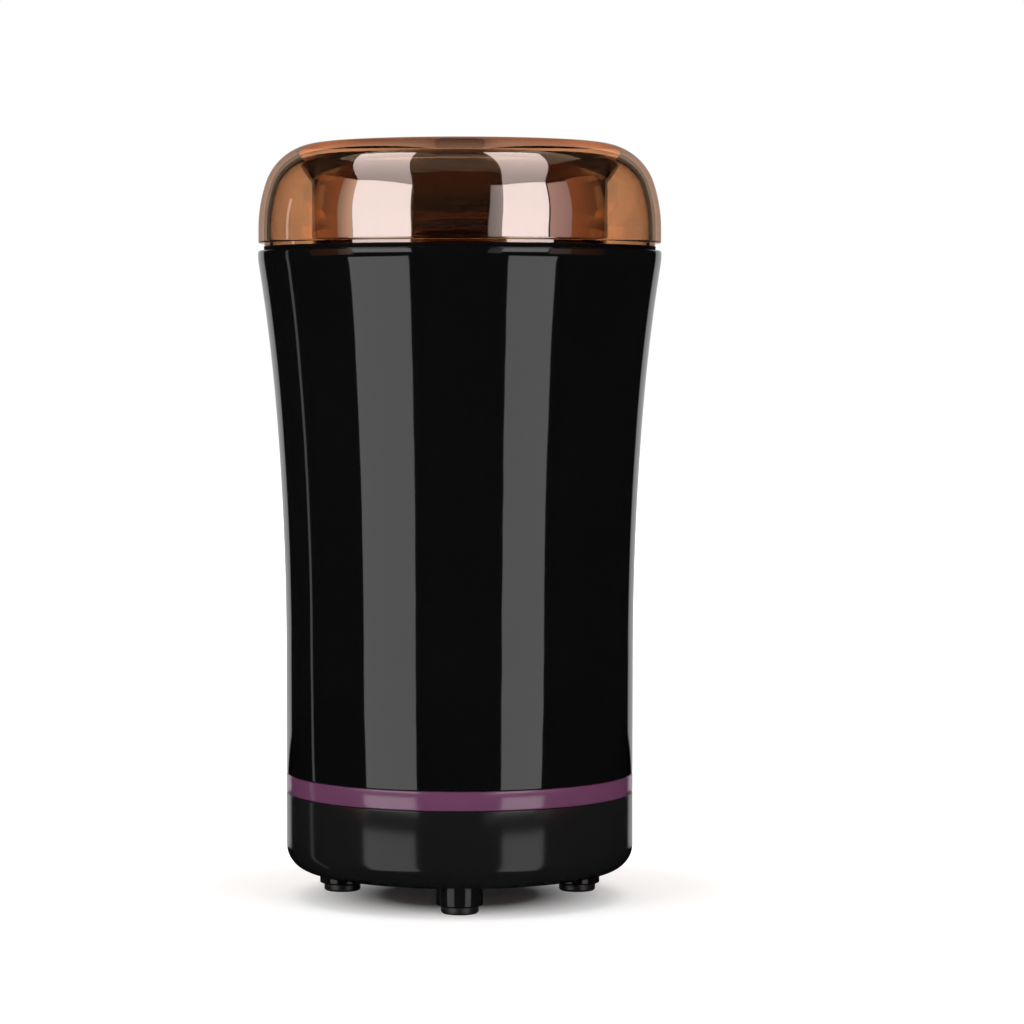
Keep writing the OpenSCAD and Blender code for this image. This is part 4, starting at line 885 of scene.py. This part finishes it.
# drawn bowl: rolled rim on the deck, straight wall, round corner and a raised middle
bowlSet = {"radius": 33.0, "sheet": 0.6, "floor": 99.85, "raise": 2.0, "round": 9.0, "deck": 148.05,
           "rim": 5.2, "middle": 11.0, "hole": 6.55, "mouth": 1.6, "lip": 0.3, "lipRound": 0.29,
           "lipInset": 0.2, "seat": 0.01, "slope": 2, "insideSlope": 1.8, "insideFoot": 0.2}
bowlIn, sheet, floorZ, middle = bowlSet["radius"], bowlSet["sheet"], bowlSet["floor"], bowlSet["middle"]
middleZ, deckZ = floorZ + bowlSet["raise"], bowlSet["deck"]
topZ, bowlRim, mouth = deckZ + sheet, bowlIn + bowlSet["rim"], bowlSet["mouth"]
cornerCentre = (bowlIn - bowlSet["round"], floorZ + bowlSet["round"])
bowl = spun("grindingBowl", rounded([
    (bowlSet["hole"], middleZ - sheet), (middle - bowlSet["slope"], middleZ - sheet, 0.6),
    (middle, floorZ - sheet, 1.2)])
    + arcPoints(cornerCentre, bowlSet["round"] + sheet, -90, 0, 14)
    + [(bowlIn + sheet, deckZ - bowlSet["seat"]), (bowlRim - bowlSet["lipInset"], deckZ + bowlSet["seat"])]
    + arcPoints((bowlRim - bowlSet["lip"], topZ - bowlSet["lip"]), bowlSet["lipRound"], -80, 90, 6)
    + arcPoints((bowlIn + mouth, topZ - mouth), mouth, 90, 180, 8)
    + arcPoints(cornerCentre, bowlSet["round"], 0, -90, 14)
    + rounded([(middle + bowlSet["insideFoot"], floorZ, 1.4), (middle - bowlSet["insideSlope"], middleZ, 1.0),
               (bowlSet["hole"], middleZ)]), steps=160)
finishPiece(bowl, bowlSteel, "housing", ["grinding_bowl"])

# rubber seal round the shaft, with a lip over the bowl's middle
sealOutline = [(3.06, 96.35), (6.5, 96.35, 0.3), (6.5, 101.87), (8.4, 101.87, 0.2), (8.5, 102.5, 0.3),
               (6.6, 103.2, 0.8), (4.4, 104.4, 0.4), (3.06, 104.4, 0.15)]
finishPiece(spun("shaftSeal", rounded(sealOutline), steps=64), padRubber, "housing", ["shaft_seal"])

# hub that carries the blades, turned, with a collar at its foot
hubOutline = [(2.52, 105.05, 0.2), (6.8, 105.05, 0.4), (6.75, 106.4, 0.2), (6.1, 106.9, 0.3),
              (6.0, 110.04, 0.3), (2.52, 110.04)]
finishPiece(spun("bladeHub", rounded(hubOutline), steps=64), turnedSteel, "rotor", ["blade_hub"])
cadAngle = 25  # degrees; pieces from the CAD keep edges sharper than this
for node, name, roundMm, segments, finish in (
        ("lower_blade", "lowerBlade", 0.14, 2, bladeSteel),
        ("upper_blade", "upperBlade", 0.14, 2, bladeSteel),
        ("blade_nut", "bladeNut", 0.3, 3, turnedSteel)):
    finishPiece(softened(node, name, roundMm, segments), finish, "rotor", [node], cadAngle)
print("bowl and blades are made")

# return spring of the pushrod: it stands on the carrier's shelf and is made 9 mm high; pressed, it is 7.6 mm
springSet = {"place": (0, 40.5, 133.85), "radius": 1.5, "wire": 0.6, "height": 9.0, "turns": 8,
             "pressed": 7.6}
coilKeys = ("radius", "wire", "height", "turns")
spring = placed(coil("pushrodSpring", *[springSet[key] for key in coilKeys]), springSet["place"])
finishPiece(spring, springWire, "housing", ["pushrod_spring"])
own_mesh(spring)
# springs behind the carbon brushes, one turned round to the other side
brushSpringSet = {"place": (0, 17, 40.55), "radius": 1.8, "wire": 0.6, "height": 6.5, "turns": 7}
brushSpring = placed(coil("brushSpring1", *[brushSpringSet[key] for key in coilKeys]),
                     brushSpringSet["place"], (-90, 0, 0))
finishPiece(turned(brushSpring, "brushSpring2", 180), springWire, "housing")
finishPiece(brushSpring, springWire, "housing", ["brush_springs"])

# CAD pieces whose edges are rounded here: node, new name, rounding in mm, finish, body, slot
roundedSet = [
    ("pushrod", "pushrodMoulded", 0.35, acetalWhite, "pushrod", "nylon_white"),
    ("suppressor_capacitor", "capacitorBox", 0.9, boxYellow, "housing", "cap_yellow"),
    ("switch_body", "switchCase", 0.25, switchCase, "housing", "switch_plastic"),
    ("switch_plunger", "switchPlunger", 0.15, acetalWhite, "switch_plunger", "nylon_white"),
    ("switch_lever", "switchLever", 0.08, springWire, "switch_lever", "spring_steel"),
    ("switch_terminals", "switchTerminals", 0.08, stampedBrass, "housing", "brass"),
    ("bowl_carrier", "bowlCarrier", 0.2, carrierBlack, "housing", "carrier_pp"),
    ("upper_bracket", "upperBracket", 0.2, castZinc, "housing", "bracket_zinc"),
    ("lower_bracket", "lowerBracket", 0.2, castZinc, "housing", "bracket_zinc"),
    ("motor_mounts", "motorMounts", 0.2, padRubber, "housing", "rubber"),
    ("field_coils", "fieldCoils", 0.8, woundCopper, "housing", "copper_wire"),
    ("thermal_fuse", "thermalFuse", 0.2, fuseCeramic, "housing", "nylon_white"),
    ("brush_holders", "brushHolders", 0.15, stampedBrass, "housing", "brass"),
    ("carbon_brushes", "carbonBrushes", 0.15, pressedCarbon, "housing", "carbon"),
    ("cooling_fan", "coolingFan", 0.2, nylonWhite, "rotor", "nylon_white"),
    ("base_screws", "baseScrews", 0.15, screwSteel, "housing", "screw_steel"),
    ("carrier_screws", "carrierScrews", 0.15, screwSteel, "housing", "screw_steel"),
    ("motor_screws", "motorScrews", 0.15, screwSteel, "housing", "screw_steel"),
]
fineEdge = 0.3  # wider edges take a third segment
for node, name, roundMm, finish, body, slot in roundedSet:
    segments = 3 if roundMm > fineEdge else 2
    finishPiece(softened(node, name, roundMm, segments), finish, body, [node], cadAngle)

paint(["switch_screws"], screwSteel)
paint(["upper_bearing", "lower_bearing"], sinteredBronze)
paint(["stator_core", "armature_core"], coreSteel)
paint(["armature_windings"], woundCopper)
paint(["inner_leads"], leadRed)
paint(["motor_shaft"], turnedSteel)
paint(["commutator"], turnedCopper)
print("inside is made")
